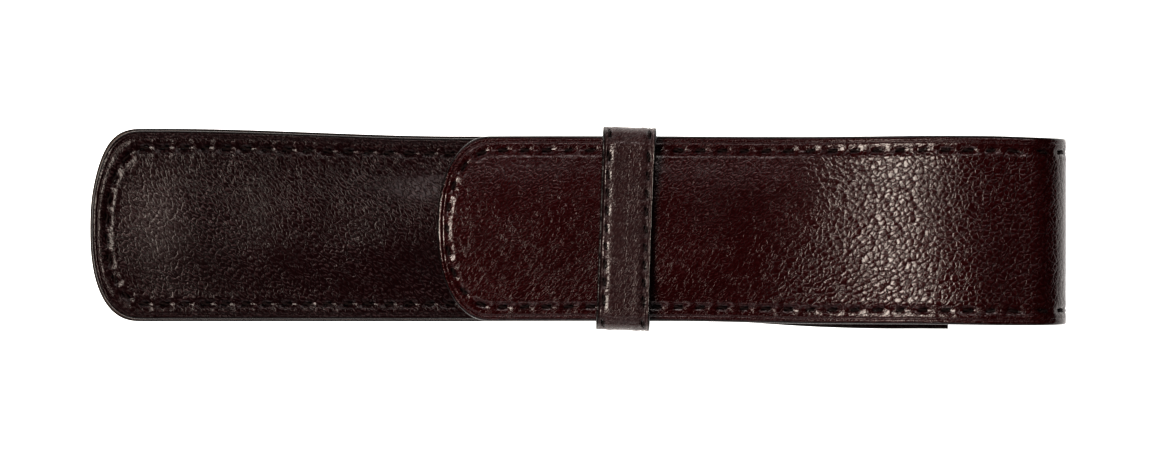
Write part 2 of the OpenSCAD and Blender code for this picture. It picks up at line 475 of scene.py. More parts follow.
def write_vectors(mesh: bpy.types.Mesh, name: str, values: Array) -> None:
    """Stores three numbers for each point of a mesh."""
    layer = mesh.attributes.new(name, "FLOAT_VECTOR", "POINT")
    layer.data.foreach_set("vector", np.asarray(values, np.float32).ravel())


def edge_rings(rounding: float, seam_in: float, reach: float = 4.0) -> Array:
    """Distances from the cut edge at which a sheet has rows of points, close together about the seam.

    Args:
        rounding: radius of the softened edge.
        seam_in: distance from the seam to the edge.
        reach: the innermost distance.

    Returns:
        The distances, from 0 inwards.
    """
    soft = rounding * (1 - np.cos(np.radians([0, 30, 55, 75, 90])))
    near = np.arange(seam_in - 1.1, seam_in + 1.15, 0.2)
    between = np.arange(rounding + 0.25, near[0] - 0.1, 0.25)
    far = np.arange(near[-1] + 0.3, reach - 0.1, 0.3)
    return np.r_[soft, between, near, far, reach]


@dataclass
class Layer:
    """One layer of a strip, between its shown face and its hidden face.

    Args:
        place: puts a point of the flat sheet, at a depth under the outer face, in its place.
        face: depth of the face that shows.
        hidden: depth of the face that is glued down.
        rings: distances from the cut edge at which there are rows of points.
        rounding: radius of the softened edge.
        rise: height of the shown face over the plain form.
        seams: the seams through the layer.
        pucker: how the seams draw it down.
        flat_at: adds to the place on the flat sheet.
        run: turns a length along the sleeve into a length along the flat sheet.
        round: share of round pebbles at a place on the flat sheet.
    """

    place: Place
    face: float
    hidden: float
    rings: Array
    rounding: float
    rise: Rise
    seams: Sequence[Seam] = ()
    pucker: Pucker = Pucker()
    flat_at: tuple[float, float] = (0.0, 0.0)
    run: Callable[[Array], Array] | None = None
    round: Callable[[Array, Array], Array] | None = None

    def about_seams(self, x: Array, y: Array) -> tuple[Array, Array]:
        """Stitch number and sideways distance of points from the nearest seam."""
        number, off = np.zeros(x.shape), np.full(x.shape, FAR_OFF)
        for seam in self.seams:
            n, o = seam.across(x, y)
            nearer = np.abs(o) < np.abs(off)
            number, off = np.where(nearer, n, number), np.where(nearer, o, off)
        return number, off

    def roundness(self, flat: Array) -> Array | None:
        """Share of round pebbles at places on the flat sheet."""
        return None if self.round is None else self.round(flat[:, 0], flat[:, 1])

    def lay(self, x: Array, y: Array, rim: Array, depth: Array, shown: Array,
            edge: Array | None = None) -> tuple[Array, Array, Array]:
        """Puts points of the flat sheet in place.

        Args:
            x: lengths along the sleeve.
            y: lengths across it.
            rim: distances to the cut edge.
            depth: depths under the outer face.
            shown: 1 on the shown face, 0 on the hidden one.
            edge: distances to a cut straight end, if there is one.

        Returns:
            The places, the places on the flat sheet, and the places about the seams.
        """
        number, off = self.about_seams(x, y)
        way = 1.0 if self.hidden > self.face else -1.0
        soft = np.maximum(rim, 0)
        if edge is not None:
            soft = np.minimum(soft, edge)
        r = self.rounding
        drop = np.where(soft < r, r - np.sqrt(np.clip(r * r - (r - soft) ** 2, 0, None)), 0.0)
        drawn = self.pucker(number, off) * (np.abs(off) < PUCKER_REACH)
        lift = (self.rise(x, y) + drawn) * smooth(soft / EDGE_FADE)
        deep = depth + way * shown * (drop - lift)
        where = self.place(x, y, deep)
        length = x if self.run is None else self.run(x)
        flat = np.c_[length + self.flat_at[0], y + self.flat_at[1]]
        return where, flat, np.c_[number, off]


def rounded_sheet(layer: Layer, half_line: Array, step: float, across: int, cut_end: bool) -> Cloth:
    """A closed layer with one rounded end, with rows of points that follow its cut edge.

    Args:
        layer: the layer's place and depths.
        half_line: its outline from the straight end, along +Y, to the tip.
        step: distance between points along the outline.
        across: cells across its middle.
        cut_end: whether the straight end is cut, and not carried on by the next piece.

    Returns:
        The piece in the making.
    """
    run = run_of(half_line)
    m = int(round(run[-1] / step))
    s = np.linspace(0, run[-1], m + 1)
    if cut_end:
        s = np.unique(np.r_[s, layer.rounding * np.array([0.05, 0.2, 0.5, 1.0])])
        m = len(s) - 1
    line = np.c_[np.interp(s, run, half_line[:, 0]), np.interp(s, run, half_line[:, 1])]
    tangent = np.gradient(line, s, axis=0)
    tangent[0] = [-1, 0]
    tangent[-1] = [0, -1]
    tangent /= np.linalg.norm(tangent, axis=1)[:, None]
    inward = np.c_[-tangent[:, 1], tangent[:, 0]]
    rings = layer.rings
    count = 2 * m + 1
    plan, rim = [], []
    for d in rings:
        half = line + d * inward
        half[-1, 1] = 0.0
        plan.append(np.vstack([half, half[-2::-1] * [1, -1]]))
        rim.append(np.full(count, d))
    inner = plan[-1][:m]
    share = np.arange(1, across) / across
    middle_x = np.repeat(inner[:, 0], across - 1)
    middle_y = (inner[:, 1:2] * (1 - 2 * share)).ravel()
    plan.append(np.c_[middle_x, middle_y])
    rim.append(rings[-1] + np.minimum(inner[:, 1:2] * (1 - np.abs(1 - 2 * share)), 8.0).ravel())
    shown_plan, shown_rim = np.vstack(plan), np.concatenate(rim)
    shown_n = len(shown_plan)
    base = (len(rings) - 1) * count
    back_plan = np.vstack([plan[0], plan[-2], plan[-1]])
    back_rim = np.concatenate([rim[0], rim[-2], rim[-1]])
    faces: list[Sequence[int]] = []

    def column(i: int, j: int, ring: int, mid: int) -> int:
        """Number of the point in row j of column i across the middle."""
        if j == 0:
            return ring + i
        if j == across:
            return ring + 2 * m - i
        return mid + i * (across - 1) + j - 1

    for k in range(len(rings) - 1):
        a = k * count
        faces += [(a + i, a + i + 1, a + count + i + 1, a + count + i) for i in range(count - 1)]
    mid = len(rings) * count
    for ring, start, flip in ((base, mid, False), (shown_n + count, shown_n + 2 * count, True)):
        cells = []
        for i in range(m - 1):
            cells += [(column(i, j, ring, start), column(i + 1, j, ring, start),
                       column(i + 1, j + 1, ring, start), column(i, j + 1, ring, start))
                      for j in range(across)]
        cells += [(column(m - 1, j, ring, start), ring + m, column(m - 1, j + 1, ring, start))
                  for j in range(across)]
        faces += [c[::-1] for c in cells] if flip else cells
    b = shown_n
    faces += [(b + i + 1, b + i, b + count + i, b + count + i + 1) for i in range(count - 1)]
    faces += [(i + 1, i, b + i, b + i + 1) for i in range(count - 1)]
    if cut_end:
        top = [k * count for k in range(len(rings))]
        top += [column(0, j, base, mid) for j in range(1, across)]
        top += [k * count + 2 * m for k in range(len(rings) - 1, -1, -1)]
        low = [b, b + count]
        low += [column(0, j, b + count, b + 2 * count) for j in range(1, across)]
        low += [b + count + 2 * m, b + 2 * m]
        faces.append(tuple(top + low[::-1]))
    all_plan = np.vstack([shown_plan, back_plan])
    all_rim = np.r_[shown_rim, back_rim]
    shown = np.r_[np.ones(shown_n), np.zeros(len(back_plan))]
    depth = np.where(shown > 0, layer.face, layer.hidden)
    edge = np.maximum(half_line[0, 0] - all_plan[:, 0], 0) if cut_end else None
    where, flat, about = layer.lay(all_plan[:, 0], all_plan[:, 1], all_rim, depth, shown, edge)
    if edge is not None:
        all_rim = np.minimum(all_rim, edge)
    return Cloth(where, faces, flat, all_rim, about, layer.roundness(flat))


def open_strip(layer: Layer, along: Array, half: float, across: int, walls: bool = False) -> Cloth:
    """A stretch of a strip between two others, with cut long edges and open ends.

    Args:
        layer: the layer's place and depths.
        along: stations along it.
        half: half its width.
        across: cells across its middle.
        walls: whether its two ends are closed.

    Returns:
        The piece in the making.
    """
    rings = layer.rings
    inner = half - rings[-1]
    middle = inner * (1 - 2 * np.arange(1, across) / across)
    y = np.r_[half - rings, middle, -(half - rings)[::-1]]
    rim_row = np.r_[rings, rings[-1] + np.minimum(inner - np.abs(middle), 8.0), rings[::-1]]
    wide, n = len(y), len(along)
    x2, y2 = np.meshgrid(along, y, indexing="ij")
    rim = np.tile(rim_row, n)
    ends = [0, len(rings) - 1] + list(range(len(rings), len(rings) + across - 1))
    ends += [len(rings) + across - 1, wide - 1]
    back_y = y[ends]
    bx, by = np.meshgrid(along, back_y, indexing="ij")
    plan_x, plan_y = np.r_[x2.ravel(), bx.ravel()], np.r_[y2.ravel(), by.ravel()]
    all_rim = np.r_[rim, np.tile(rim_row[ends], n)]
    shown = np.r_[np.ones(n * wide), np.zeros(n * len(ends))]
    depth = np.where(shown > 0, layer.face, layer.hidden)
    where, flat, about = layer.lay(plan_x, plan_y, all_rim, depth, shown)
    faces: list[Sequence[int]] = []
    b, w = n * wide, len(ends)
    for i in range(n - 1):
        faces += [(i * wide + j, i * wide + j + 1, (i + 1) * wide + j + 1, (i + 1) * wide + j)
                  for j in range(wide - 1)]
        faces += [(b + i * w + j + 1, b + i * w + j, b + (i + 1) * w + j, b + (i + 1) * w + j + 1)
                  for j in range(w - 1)]
        faces.append((i * wide, (i + 1) * wide, b + (i + 1) * w, b + i * w))
        faces.append(((i + 1) * wide - 1, b + (i + 1) * w - 1, b + (i + 2) * w - 1, (i + 2) * wide - 1))
    for i in (0, n - 1) if walls else ():
        faces.append((*range(i * wide, (i + 1) * wide), *range(b + (i + 1) * w - 1, b + i * w - 1, -1)))
    return Cloth(where, faces, flat, all_rim, about, layer.roundness(flat))


# ---------------------------------------------------------------- node boards


class Board:
    """A node tree being wired, with short ways to place the nodes that the finishes use."""

    def __init__(self, tree: bpy.types.NodeTree) -> None:
        """Starts on a tree.

        Args:
            tree: the node tree.
        """
        self.tree = tree

    def put(self, kind: str, **settings: object) -> bpy.types.Node:
        """Places a node.

        Args:
            kind: the node's type.
            settings: the node's own settings.

        Returns:
            The node.
        """
        node = self.tree.nodes.new(kind)
        for name, value in settings.items():
            setattr(node, name, value)
        return node

    def feed(self, socket: bpy.types.NodeSocket, value: object) -> None:
        """Links a socket to another, or sets its value."""
        if isinstance(value, bpy.types.NodeSocket):
            self.tree.links.new(value, socket)
        else:
            socket.default_value = value

    def math(self, operation: str, *values: object, clamp: bool = False) -> bpy.types.NodeSocket:
        """Places a Math node.

        Args:
            operation: what it works out.
            values: its sockets or numbers.
            clamp: whether the result stays from 0 to 1.

        Returns:
            Its result.
        """
        node = self.put("ShaderNodeMath", operation=operation, use_clamp=clamp)
        for socket, value in zip(node.inputs, values):
            self.feed(socket, value)
        return node.outputs[0]

    def times(self, *values: object, clamp: bool = False) -> bpy.types.NodeSocket:
        """The product of two values."""
        return self.math("MULTIPLY", *values, clamp=clamp)

    def plus(self, *values: object, clamp: bool = False) -> bpy.types.NodeSocket:
        """The sum of two values."""
        return self.math("ADD", *values, clamp=clamp)

    def minus(self, *values: object, clamp: bool = False) -> bpy.types.NodeSocket:
        """The first value less the second."""
        return self.math("SUBTRACT", *values, clamp=clamp)

    def over(self, *values: object) -> bpy.types.NodeSocket:
        """The first value as a share of the second."""
        return self.math("DIVIDE", *values)

    def vector(self, operation: str, *values: object) -> bpy.types.NodeSocket:
        """Places a Vector Math node.

        Args:
            operation: what it works out.
            values: its sockets or vectors, or a number for Scale.

        Returns:
            Its result.
        """
        node = self.put("ShaderNodeVectorMath", operation=operation)
        if operation == "SCALE":
            self.feed(node.inputs[0], values[0])
            self.feed(node.inputs["Scale"], values[1])
        else:
            for socket, value in zip(node.inputs, values):
                self.feed(socket, value)
        return node.outputs["Value"] if operation in ("LENGTH", "DISTANCE") else node.outputs["Vector"]

    def step(self, value: object, low: object, high: object,
             bottom: float = 0.0, top: float = 1.0) -> bpy.types.NodeSocket:
        """A soft step from one value to another.

        Args:
            value: what is tested.
            low: where the step starts.
            high: where it ends.
            bottom: result before it.
            top: result after it.

        Returns:
            The result.
        """
        node = self.put("ShaderNodeMapRange", interpolation_type="SMOOTHSTEP")
        for name, given in (("Value", value), ("From Min", low), ("From Max", high),
                            ("To Min", bottom), ("To Max", top)):
            self.feed(node.inputs[name], given)
        return node.outputs["Result"]

    def noise(self, at: object, scale: object, detail: float = 2.0, rough: float = 0.5,
              colour: bool = False) -> bpy.types.NodeSocket:
        """Places a Noise Texture.

        Args:
            at: the place.
            scale: how fine it is.
            detail: number of finer layers.
            rough: strength of the finer layers.
            colour: whether to give three independent values.

        Returns:
            Its value, or its colour.
        """
        node = self.put("ShaderNodeTexNoise")
        for name, given in (("Vector", at), ("Scale", scale), ("Detail", detail), ("Roughness", rough)):
            self.feed(node.inputs[name], given)
        return node.outputs["Color" if colour else "Fac"]

    def mix(self, share: object, first: object, second: object) -> bpy.types.NodeSocket:
        """Mixes two colours.

        Args:
            share: share of the second.
            first: the first colour.
            second: the second colour.

        Returns:
            The mixed colour.
        """
        node = self.put("ShaderNodeMix", data_type="RGBA")
        for number, given in ((0, share), (6, first), (7, second)):
            self.feed(node.inputs[number], given)
        return node.outputs[2]

    def turned(self, at: object, degrees: float, stretch: tuple[float, float, float]) -> bpy.types.NodeSocket:
        """Turns a place about Z and then scales it.

        Args:
            at: the place.
            degrees: the turn.
            stretch: the scale along each axis.

        Returns:
            The new place.
        """
        turn = self.put("ShaderNodeVectorRotate", rotation_type="Z_AXIS")
        self.feed(turn.inputs["Vector"], at)
        self.feed(turn.inputs["Angle"], math.radians(degrees))
        return self.vector("MULTIPLY", turn.outputs[0], stretch)

    def attribute(self, name: str, vector: bool = False) -> bpy.types.NodeSocket:
        """Reads what a mesh stores for each point."""
        node = self.put("ShaderNodeAttribute", attribute_name=name)
        return node.outputs["Vector" if vector else "Fac"]


class Effect:
    """A shader node group with named inputs and outputs, built once and used by several finishes."""

    name = "effect"
    inputs: tuple[tuple[str, str, object], ...] = ()
    outputs: tuple[tuple[str, str], ...] = ()

    @classmethod
    def tree(cls) -> bpy.types.NodeTree:
        """The group, built the first time it is asked for."""
        found = bpy.data.node_groups.get(cls.name)
        if found is not None:
            return found
        tree = bpy.data.node_groups.new(cls.name, "ShaderNodeTree")
        for name, kind, value in cls.inputs:
            socket = tree.interface.new_socket(name=name, in_out="INPUT", socket_type=kind)
            if value is not None:
                socket.default_value = value
        for name, kind in cls.outputs:
            tree.interface.new_socket(name=name, in_out="OUTPUT", socket_type=kind)
        board = Board(tree)
        given = board.put("NodeGroupInput")
        result = board.put("NodeGroupOutput")
        for name, value in cls.wire(board, given.outputs).items():
            board.feed(result.inputs[name], value)
        return tree

    @classmethod
    def wire(cls, board: Board, given: bpy.types.NodeOutputs) -> dict[str, object]:
        """Wires the inside of the group.

        Args:
            board: the group's board.
            given: the group's inputs.

        Returns:
            What feeds each output.
        """
        raise NotImplementedError

    @classmethod
    def on(cls, board: Board, **values: object) -> bpy.types.NodeOutputs:
        """Places the group on a finish's board.

        Args:
            board: the finish's board.
            values: values or sockets for its inputs, with _ for each space in a name.

        Returns:
            The group's outputs.
        """
        node = board.put("ShaderNodeGroup", node_tree=cls.tree())
        for name, value in values.items():
            board.feed(node.inputs[name.replace("_", " ")], value)
        return node.outputs


class LeatherGrain(Effect):
    """Fine slanting grain that turns into round cracked pebbles, with creases and pores over both."""

    name = "Leather Grain"
    inputs = (("Flat", "NodeSocketVector", None), ("Round", "NodeSocketFloat", 0.0),
              ("Fine Size", "NodeSocketFloat", 0.42), ("Round Size", "NodeSocketFloat", 0.85),
              ("Creases", "NodeSocketFloat", 0.5))
    outputs = (("Height", "NodeSocketFloat"), ("Cracks", "NodeSocketFloat"), ("Ridge Highlights", "NodeSocketFloat"))

    @classmethod
    def cells(cls, board: Board, at: object, gap: float) -> tuple[object, object, object]:
        """Domed cells with cracks between them.

        Args:
            board: the group's board.
            at: the place, in cells.
            gap: half width of the cracks, in cells.

        Returns:
            The domes' height, the cracks' mask and the mask of one side of each cell, where a highlight is
            painted.
        """
        near = board.put("ShaderNodeTexVoronoi", feature="F1", voronoi_dimensions="2D")
        edge = board.put("ShaderNodeTexVoronoi", feature="DISTANCE_TO_EDGE", voronoi_dimensions="2D")
        for node in (near, edge):
            board.feed(node.inputs["Vector"], at)
            board.feed(node.inputs["Scale"], 1.0)
        beside = board.put("ShaderNodeTexVoronoi", feature="DISTANCE_TO_EDGE", voronoi_dimensions="2D")
        board.feed(beside.inputs["Vector"], board.vector("ADD", at, (0.16, -0.16, 0.0)))
        board.feed(beside.inputs["Scale"], 1.0)
        # Painted highlight: this picks out one side of each cell, towards a fixed offset, to be painted
        # lighter
        rise = board.minus(beside.outputs["Distance"], edge.outputs["Distance"])
        far = near.outputs["Distance"]
        dome = board.minus(1.0, board.times(board.times(far, far), 1.5))
        return dome, board.step(edge.outputs["Distance"], gap, 0.0), board.step(rise, 0.05, 0.17)

    @classmethod
    def wire(cls, board: Board, given: bpy.types.NodeOutputs) -> dict[str, object]:
        """Wires the grain."""
        flat = given["Flat"]
        drift = board.vector("SUBTRACT", board.noise(flat, 0.7, 3.0, 0.55, colour=True), (0.5, 0.5, 0.5))
        bent = board.vector("ADD", flat, board.vector("SCALE", drift, 1.2))
        patch = board.step(board.noise(flat, 0.13, 3.0, 0.55), 0.36, 0.64)
        fine_at = board.vector("SCALE", board.turned(bent, 42, (0.42, 1.0, 1.0)),
                               board.over(1.0, given["Fine Size"]))
        round_at = board.vector("SCALE", board.turned(bent, 25, (0.86, 1.0, 1.0)),
                                board.over(1.0, given["Round Size"]))
        fine, fine_crack, ridge_highlight = cls.cells(board, fine_at, 0.15)
        dome, crack, round_ridge_highlight = cls.cells(board, round_at, 0.15)
        wave = board.noise(board.turned(bent, 50, (0.28, 1.3, 1.0)), 1.0, 2.0, 0.5)
        fold = board.minus(1.0, board.math("ABSOLUTE", board.minus(wave, 0.5)))
        crease = board.step(fold, 0.965, 1.0)
        pores = board.noise(flat, 2.4, 1.0, 0.5)
        strength = board.plus(0.55, board.times(patch, 0.45))
        small = board.minus(board.times(fine, 0.05), board.times(fine_crack, 0.20))
        small = board.times(small, strength)
        large = board.minus(board.times(dome, 0.80), board.times(crack, 0.42))
        share = given["Round"]
        rest = board.minus(1.0, share)
        height = board.plus(board.times(small, rest), board.times(large, share))
        height = board.minus(height, board.times(crease, given["Creases"]))
        height = board.plus(height, board.times(pores, 0.025))
        cracks = board.plus(board.times(board.times(fine_crack, rest), 0.6), board.times(crack, share))
        cracks = board.math("MAXIMUM", cracks, board.times(crease, given["Creases"]), clamp=True)
        ridge_highlights = board.plus(board.times(board.times(ridge_highlight, rest), strength),
                            board.times(board.times(round_ridge_highlight, share), 0.5))
        return {"Height": height, "Cracks": cracks, "Ridge Highlights": ridge_highlights}


class ColourDrift(Effect):
    """Slow clouds in the dye, and fine flecks."""

    name = "Colour Drift"
    inputs = (("Flat", "NodeSocketVector", None), ("Size", "NodeSocketFloat", 14.0))
    outputs = (("Cloud", "NodeSocketFloat"), ("Fleck", "NodeSocketFloat"))

    @classmethod
    def wire(cls, board: Board, given: bpy.types.NodeOutputs) -> dict[str, object]:
        """Wires the drift."""
        near = board.over(1.0, given["Size"])
        cloud = board.step(board.noise(given["Flat"], near, 4.0, 0.55), 0.30, 0.70)
        fleck = board.step(board.noise(given["Flat"], 2.2, 3.0, 0.65), 0.52, 0.72)
        return {"Cloud": cloud, "Fleck": fleck}


class Scratches(Effect):
    """Thin lines worn in by handling, most of them along one direction."""

    name = "Scratches"
    inputs = (("Flat", "NodeSocketVector", None), ("Amount", "NodeSocketFloat", 0.5))
    outputs = (("Mask", "NodeSocketFloat"),)

    @classmethod
    def wire(cls, board: Board, given: bpy.types.NodeOutputs) -> dict[str, object]:
        """Wires the scratches."""
        lines = []
        for degrees, fine, seed in ((-4, 1.6, 3.0), (27, 2.0, 11.0), (58, 1.7, 23.0)):
            at = board.turned(board.vector("ADD", given["Flat"], (seed, seed * 1.7, 0.0)), degrees,
                              (0.05, fine, 1.0))
            line = board.noise(at, 1.0, 2.0, 0.5)
            lines.append(board.step(line, 0.655, 0.70))
        both = board.math("MAXIMUM", board.math("MAXIMUM", lines[0], lines[1]), lines[2])
        worn = board.step(board.noise(given["Flat"], 0.09, 2.0, 0.5), 0.42, 0.60)
        return {"Mask": board.times(board.times(both, worn), given["Amount"], clamp=True)}


class EdgeFinish(Effect):
    """Paint on the cut edge, a creased line beside it, and a lighter band on the swell beside the line,
    partly edge wear and partly painted highlight.
    """

    name = "Edge Finish"
    inputs = (("Flat", "NodeSocketVector", None), ("Rim", "NodeSocketFloat", 5.0),
              ("Line", "NodeSocketFloat", 0.95))
    outputs = (("Paint", "NodeSocketFloat"), ("Height", "NodeSocketFloat"), ("Rub And Highlight", "NodeSocketFloat"))

    @classmethod
    def wire(cls, board: Board, given: bpy.types.NodeOutputs) -> dict[str, object]:
        """Wires the edge."""
        sway = board.times(board.minus(board.noise(given["Flat"], 0.5, 2.0, 0.5), 0.5), 0.35)
        rim = board.plus(given["Rim"], sway)
        paint = board.step(rim, 0.42, 0.24)
        groove = board.over(board.minus(rim, given["Line"]), 0.16)
        groove = board.math("POWER", HUMP_BASE, board.times(board.times(groove, groove), -1.0))
        swell = board.over(board.minus(rim, board.minus(given["Line"], 0.38)), 0.22)
        swell = board.math("POWER", HUMP_BASE, board.times(board.times(swell, swell), -1.0))
        height = board.minus(board.times(swell, 0.05), board.times(groove, 0.09))
        patchy = board.step(board.noise(given["Flat"], 0.35, 4.0, 0.6), 0.42, 0.66)
        # Lighter band on the swell: partly edge wear, partly painted highlight
        rub_and_highlight = board.times(swell, patchy)
        return {"Paint": paint, "Height": height, "Rub And Highlight": rub_and_highlight}


class StitchHoles(Effect):
    """Slanting slits that the stitches go through, and the small tucks about them, with masks for the shade
    painted in and round the slits.
    """

    name = "Stitch Holes"
    inputs = (("Seam", "NodeSocketVector", None), ("Pitch", "NodeSocketFloat", 3.5),
              ("Slit Length", "NodeSocketFloat", 1.5), ("Slit Width", "NodeSocketFloat", 0.42),
              ("Slant", "NodeSocketFloat", -0.24))
    outputs = (("Slit", "NodeSocketFloat"), ("Height", "NodeSocketFloat"), ("Shade", "NodeSocketFloat"))

    @classmethod
    def wire(cls, board: Board, given: bpy.types.NodeOutputs) -> dict[str, object]:
        """Wires the holes."""
        parts = board.put("ShaderNodeSeparateXYZ")
        board.feed(parts.inputs[0], given["Seam"])
        number, off = parts.outputs["X"], parts.outputs["Y"]
        whole = board.math("ROUND", number)
        chance = board.put("ShaderNodeTexWhiteNoise", noise_dimensions="1D")
        board.feed(chance.inputs["W"], whole)
        luck = board.minus(chance.outputs["Value"], 0.5)
        along = board.times(board.minus(number, whole), given["Pitch"])
        lean = board.plus(given["Slant"], board.times(luck, 0.22))
        side = board.minus(off, board.times(along, lean))
        size = board.plus(1.0, board.times(luck, 0.35))
        a = board.over(along, board.times(board.times(given["Slit Length"], 0.5), size))
        b = board.over(side, board.times(given["Slit Width"], 0.5))
        far = board.math("SQRT", board.plus(board.times(a, a), board.times(b, b)))
        # Mask of each slit; it also places the shade painted inside the slit
        slit = board.step(far, 1.25, 0.7)
        wide_b = board.times(b, 0.42)
        wide_a = board.times(a, 0.72)
        wide = board.math("SQRT", board.plus(board.times(wide_a, wide_a), board.times(wide_b, wide_b)))
        # Mask of the shade painted round each slit
        shade = board.step(wide, 1.5, 0.5)
        tuck = board.times(board.math("COSINE", board.times(number, math.tau * 2)),
                           board.step(board.math("ABSOLUTE", off), 1.9, 0.5))
        height = board.minus(board.times(tuck, 0.018), board.times(slit, 0.16))
        return {"Slit": slit, "Height": height, "Shade": shade}


Colour = tuple[float, float, float]
# Near black painted into the stitch slits as their shade
HOLE_SHADE: Colour = (0.0015, 0.001, 0.001)


def solid(colour: Colour) -> tuple[float, float, float, float]:
    """A colour with full cover, for a shader's socket."""
    return (*colour, 1.0)


def blank(name: str) -> tuple[bpy.types.Material, Board]:
    """A new material with an empty node tree, and its board."""
    material = bpy.data.materials.new(name)
    material.use_nodes = True
    material.node_tree.nodes.clear()
    return material, Board(material.node_tree)


def bumped(board: Board, height: object) -> bpy.types.NodeSocket:
    """The normal of a surface with a relief.

    Args:
        board: the finish's board.
        height: height of the relief in millimetres.

    Returns:
        The normal.
    """
    bump = board.put("ShaderNodeBump")
    for name, value in (("Strength", 1.0), ("Distance", MM), ("Height", height)):
        board.feed(bump.inputs[name], value)
    return bump.outputs[0]


def finish(board: Board, *given: tuple[str, object]) -> None:
    """Ends a material with its shader.

    Args:
        board: the finish's board.
        given: names of the shader's inputs, and what feeds them.
    """
    shader = board.put("ShaderNodeBsdfPrincipled")
    for name, value in given:
        board.feed(shader.inputs[name], value)
    out = board.put("ShaderNodeOutputMaterial")
    board.feed(out.inputs["Surface"], shader.outputs[0])


@dataclass(frozen=True)
class LeatherFinish:
    """Dyed, lightly polished leather with painted edges.

    Args:
        name: name of the finish.
        dye: main colour.
        deep: colour of the painted shade in the grain's cracks and creases and round the stitch holes.
        light: colour of the lighter clouds, flecks and scratches, and of the band beside the edge, which is
            partly painted highlight.
        paint: colour of the cut edges.
        ridge_highlight: colour of the highlight painted on one side of each grain cell.
        rough: roughness of the polish.
        gleam: strength of its reflections, where 0.5 is glass.
        fine: width of the fine slanting grain.
        pebble: size of the round pebbles.
        round: share of round pebbles all over.
        grain: height of the grain.
        creases: strength of the slanting creases.
        scratches: how much it is scratched.
        pitch: distance between its stitches.
        slit: length of a stitch hole.
        line: distance from the edge to the creased line beside it.
    """

    name: str
    dye: Colour
    deep: Colour
    light: Colour
    paint: Colour = (0.006, 0.003, 0.003)
    rough: float = 0.30
    ridge_highlight: Colour = (0.080, 0.056, 0.056)
    gleam: float = 0.40
    fine: float = 0.42
    pebble: float = 0.85
    round: float = 0.0
    grain: float = 0.085
    creases: float = 0.5
    scratches: float = 0.3
    pitch: float = 3.5
    slit: float = 1.5
    line: float = 0.95

    def material(self) -> bpy.types.Material:
        """Makes the material.

        Returns:
            The material.
        """
        material, board = blank(self.name)
        flat = board.attribute("flat", vector=True)
        share = board.plus(board.attribute("round"), self.round, clamp=True)
        grain = LeatherGrain.on(board, Flat=flat, Round=share, Fine_Size=self.fine, Round_Size=self.pebble,
                                Creases=self.creases)
        drift = ColourDrift.on(board, Flat=flat, Size=15.0)
        scratch = Scratches.on(board, Flat=flat, Amount=self.scratches)
        edge = EdgeFinish.on(board, Flat=flat, Rim=board.attribute("rim"), Line=self.line)
        holes = StitchHoles.on(board, Seam=board.attribute("seam", vector=True), Pitch=self.pitch,
                               Slit_Length=self.slit)
        colour = board.mix(board.times(drift["Cloud"], 0.8), solid(self.dye), solid(self.light))
        # Painted shade: the grain's cracks and creases are darkened towards the deep colour
        colour = board.mix(board.times(grain["Cracks"], 0.75, clamp=True), colour, solid(self.deep))
        # Painted highlight on one side of each grain cell, varied by the flecks
        painted_ridge_light = board.times(board.plus(0.45, board.times(drift["Fleck"], 0.4)), grain["Ridge Highlights"])
        colour = board.mix(painted_ridge_light, colour, solid(self.ridge_highlight))
        colour = board.mix(board.times(drift["Fleck"], 0.30), colour, solid(self.light))
        colour = board.mix(board.times(scratch["Mask"], 0.55), colour, solid(self.light))
        # Lighter band beside the edge: partly edge wear, partly painted highlight
        colour = board.mix(board.times(edge["Rub And Highlight"], 0.6), colour, solid(self.light))
        colour = board.mix(edge["Paint"], colour, solid(self.paint))
        # Painted shade round each stitch hole, towards the deep colour
        colour = board.mix(board.times(holes["Shade"], 0.45), colour, solid(self.deep))
        # Painted shade: the stitch slits are coloured near black
        colour = board.mix(board.times(holes["Slit"], 0.92), colour, solid(HOLE_SHADE))
        rough = board.plus(self.rough, board.times(grain["Cracks"], 0.08))
        rough = board.minus(rough, board.times(drift["Cloud"], 0.06))
        rough = board.minus(rough, board.times(scratch["Mask"], 0.08))
        rough = board.minus(rough, board.times(holes["Slit"], 0.08), clamp=True)
        height = board.times(grain["Height"], self.grain)
        height = board.plus(height, edge["Height"])
        height = board.plus(height, holes["Height"])
        height = board.minus(height, board.times(scratch["Mask"], 0.012))
        finish(board, ("Base Color", colour), ("Roughness", rough), ("Normal", bumped(board, height)),
               ("Specular IOR Level", self.gleam))
        return material


@dataclass(frozen=True)
class ThreadFinish:
    """Waxed thread of two twisted strands.

    Args:
        name: name of the finish.
        dye: main colour.
        light: colour of the highlight painted on the stitches' crowns.
        rough: roughness of the wax.
        gleam: strength of its reflections.
    """

    name: str
    dye: Colour
    light: Colour
    rough: float = 0.60
    gleam: float = 0.15

    def material(self) -> bpy.types.Material:
        """Makes the material.

        Returns:
            The material.
        """
        material, board = blank(self.name)
        flat = board.attribute("flat", vector=True)
        drift = ColourDrift.on(board, Flat=flat, Size=5.0)
        fibres = board.noise(board.turned(flat, 35, (2.0, 14.0, 1.0)), 1.0, 2.0, 0.6)
        # Painted highlight on the crown of each stitch, the side away from the leather
        crown = board.step(board.attribute("rim"), 0.55, 1.0)
        colour = board.mix(drift["Cloud"], solid(self.dye), solid(tuple(c * 0.6 for c in self.dye)))
        colour = board.mix(board.times(board.times(crown, fibres), 0.9), colour, solid(self.light))
        rough = board.plus(self.rough, board.times(fibres, 0.25))
        relief = bumped(board, board.times(fibres, 0.05))
        finish(board, ("Base Color", colour), ("Roughness", rough), ("Normal", relief),
               ("Specular IOR Level", self.gleam))
        return material


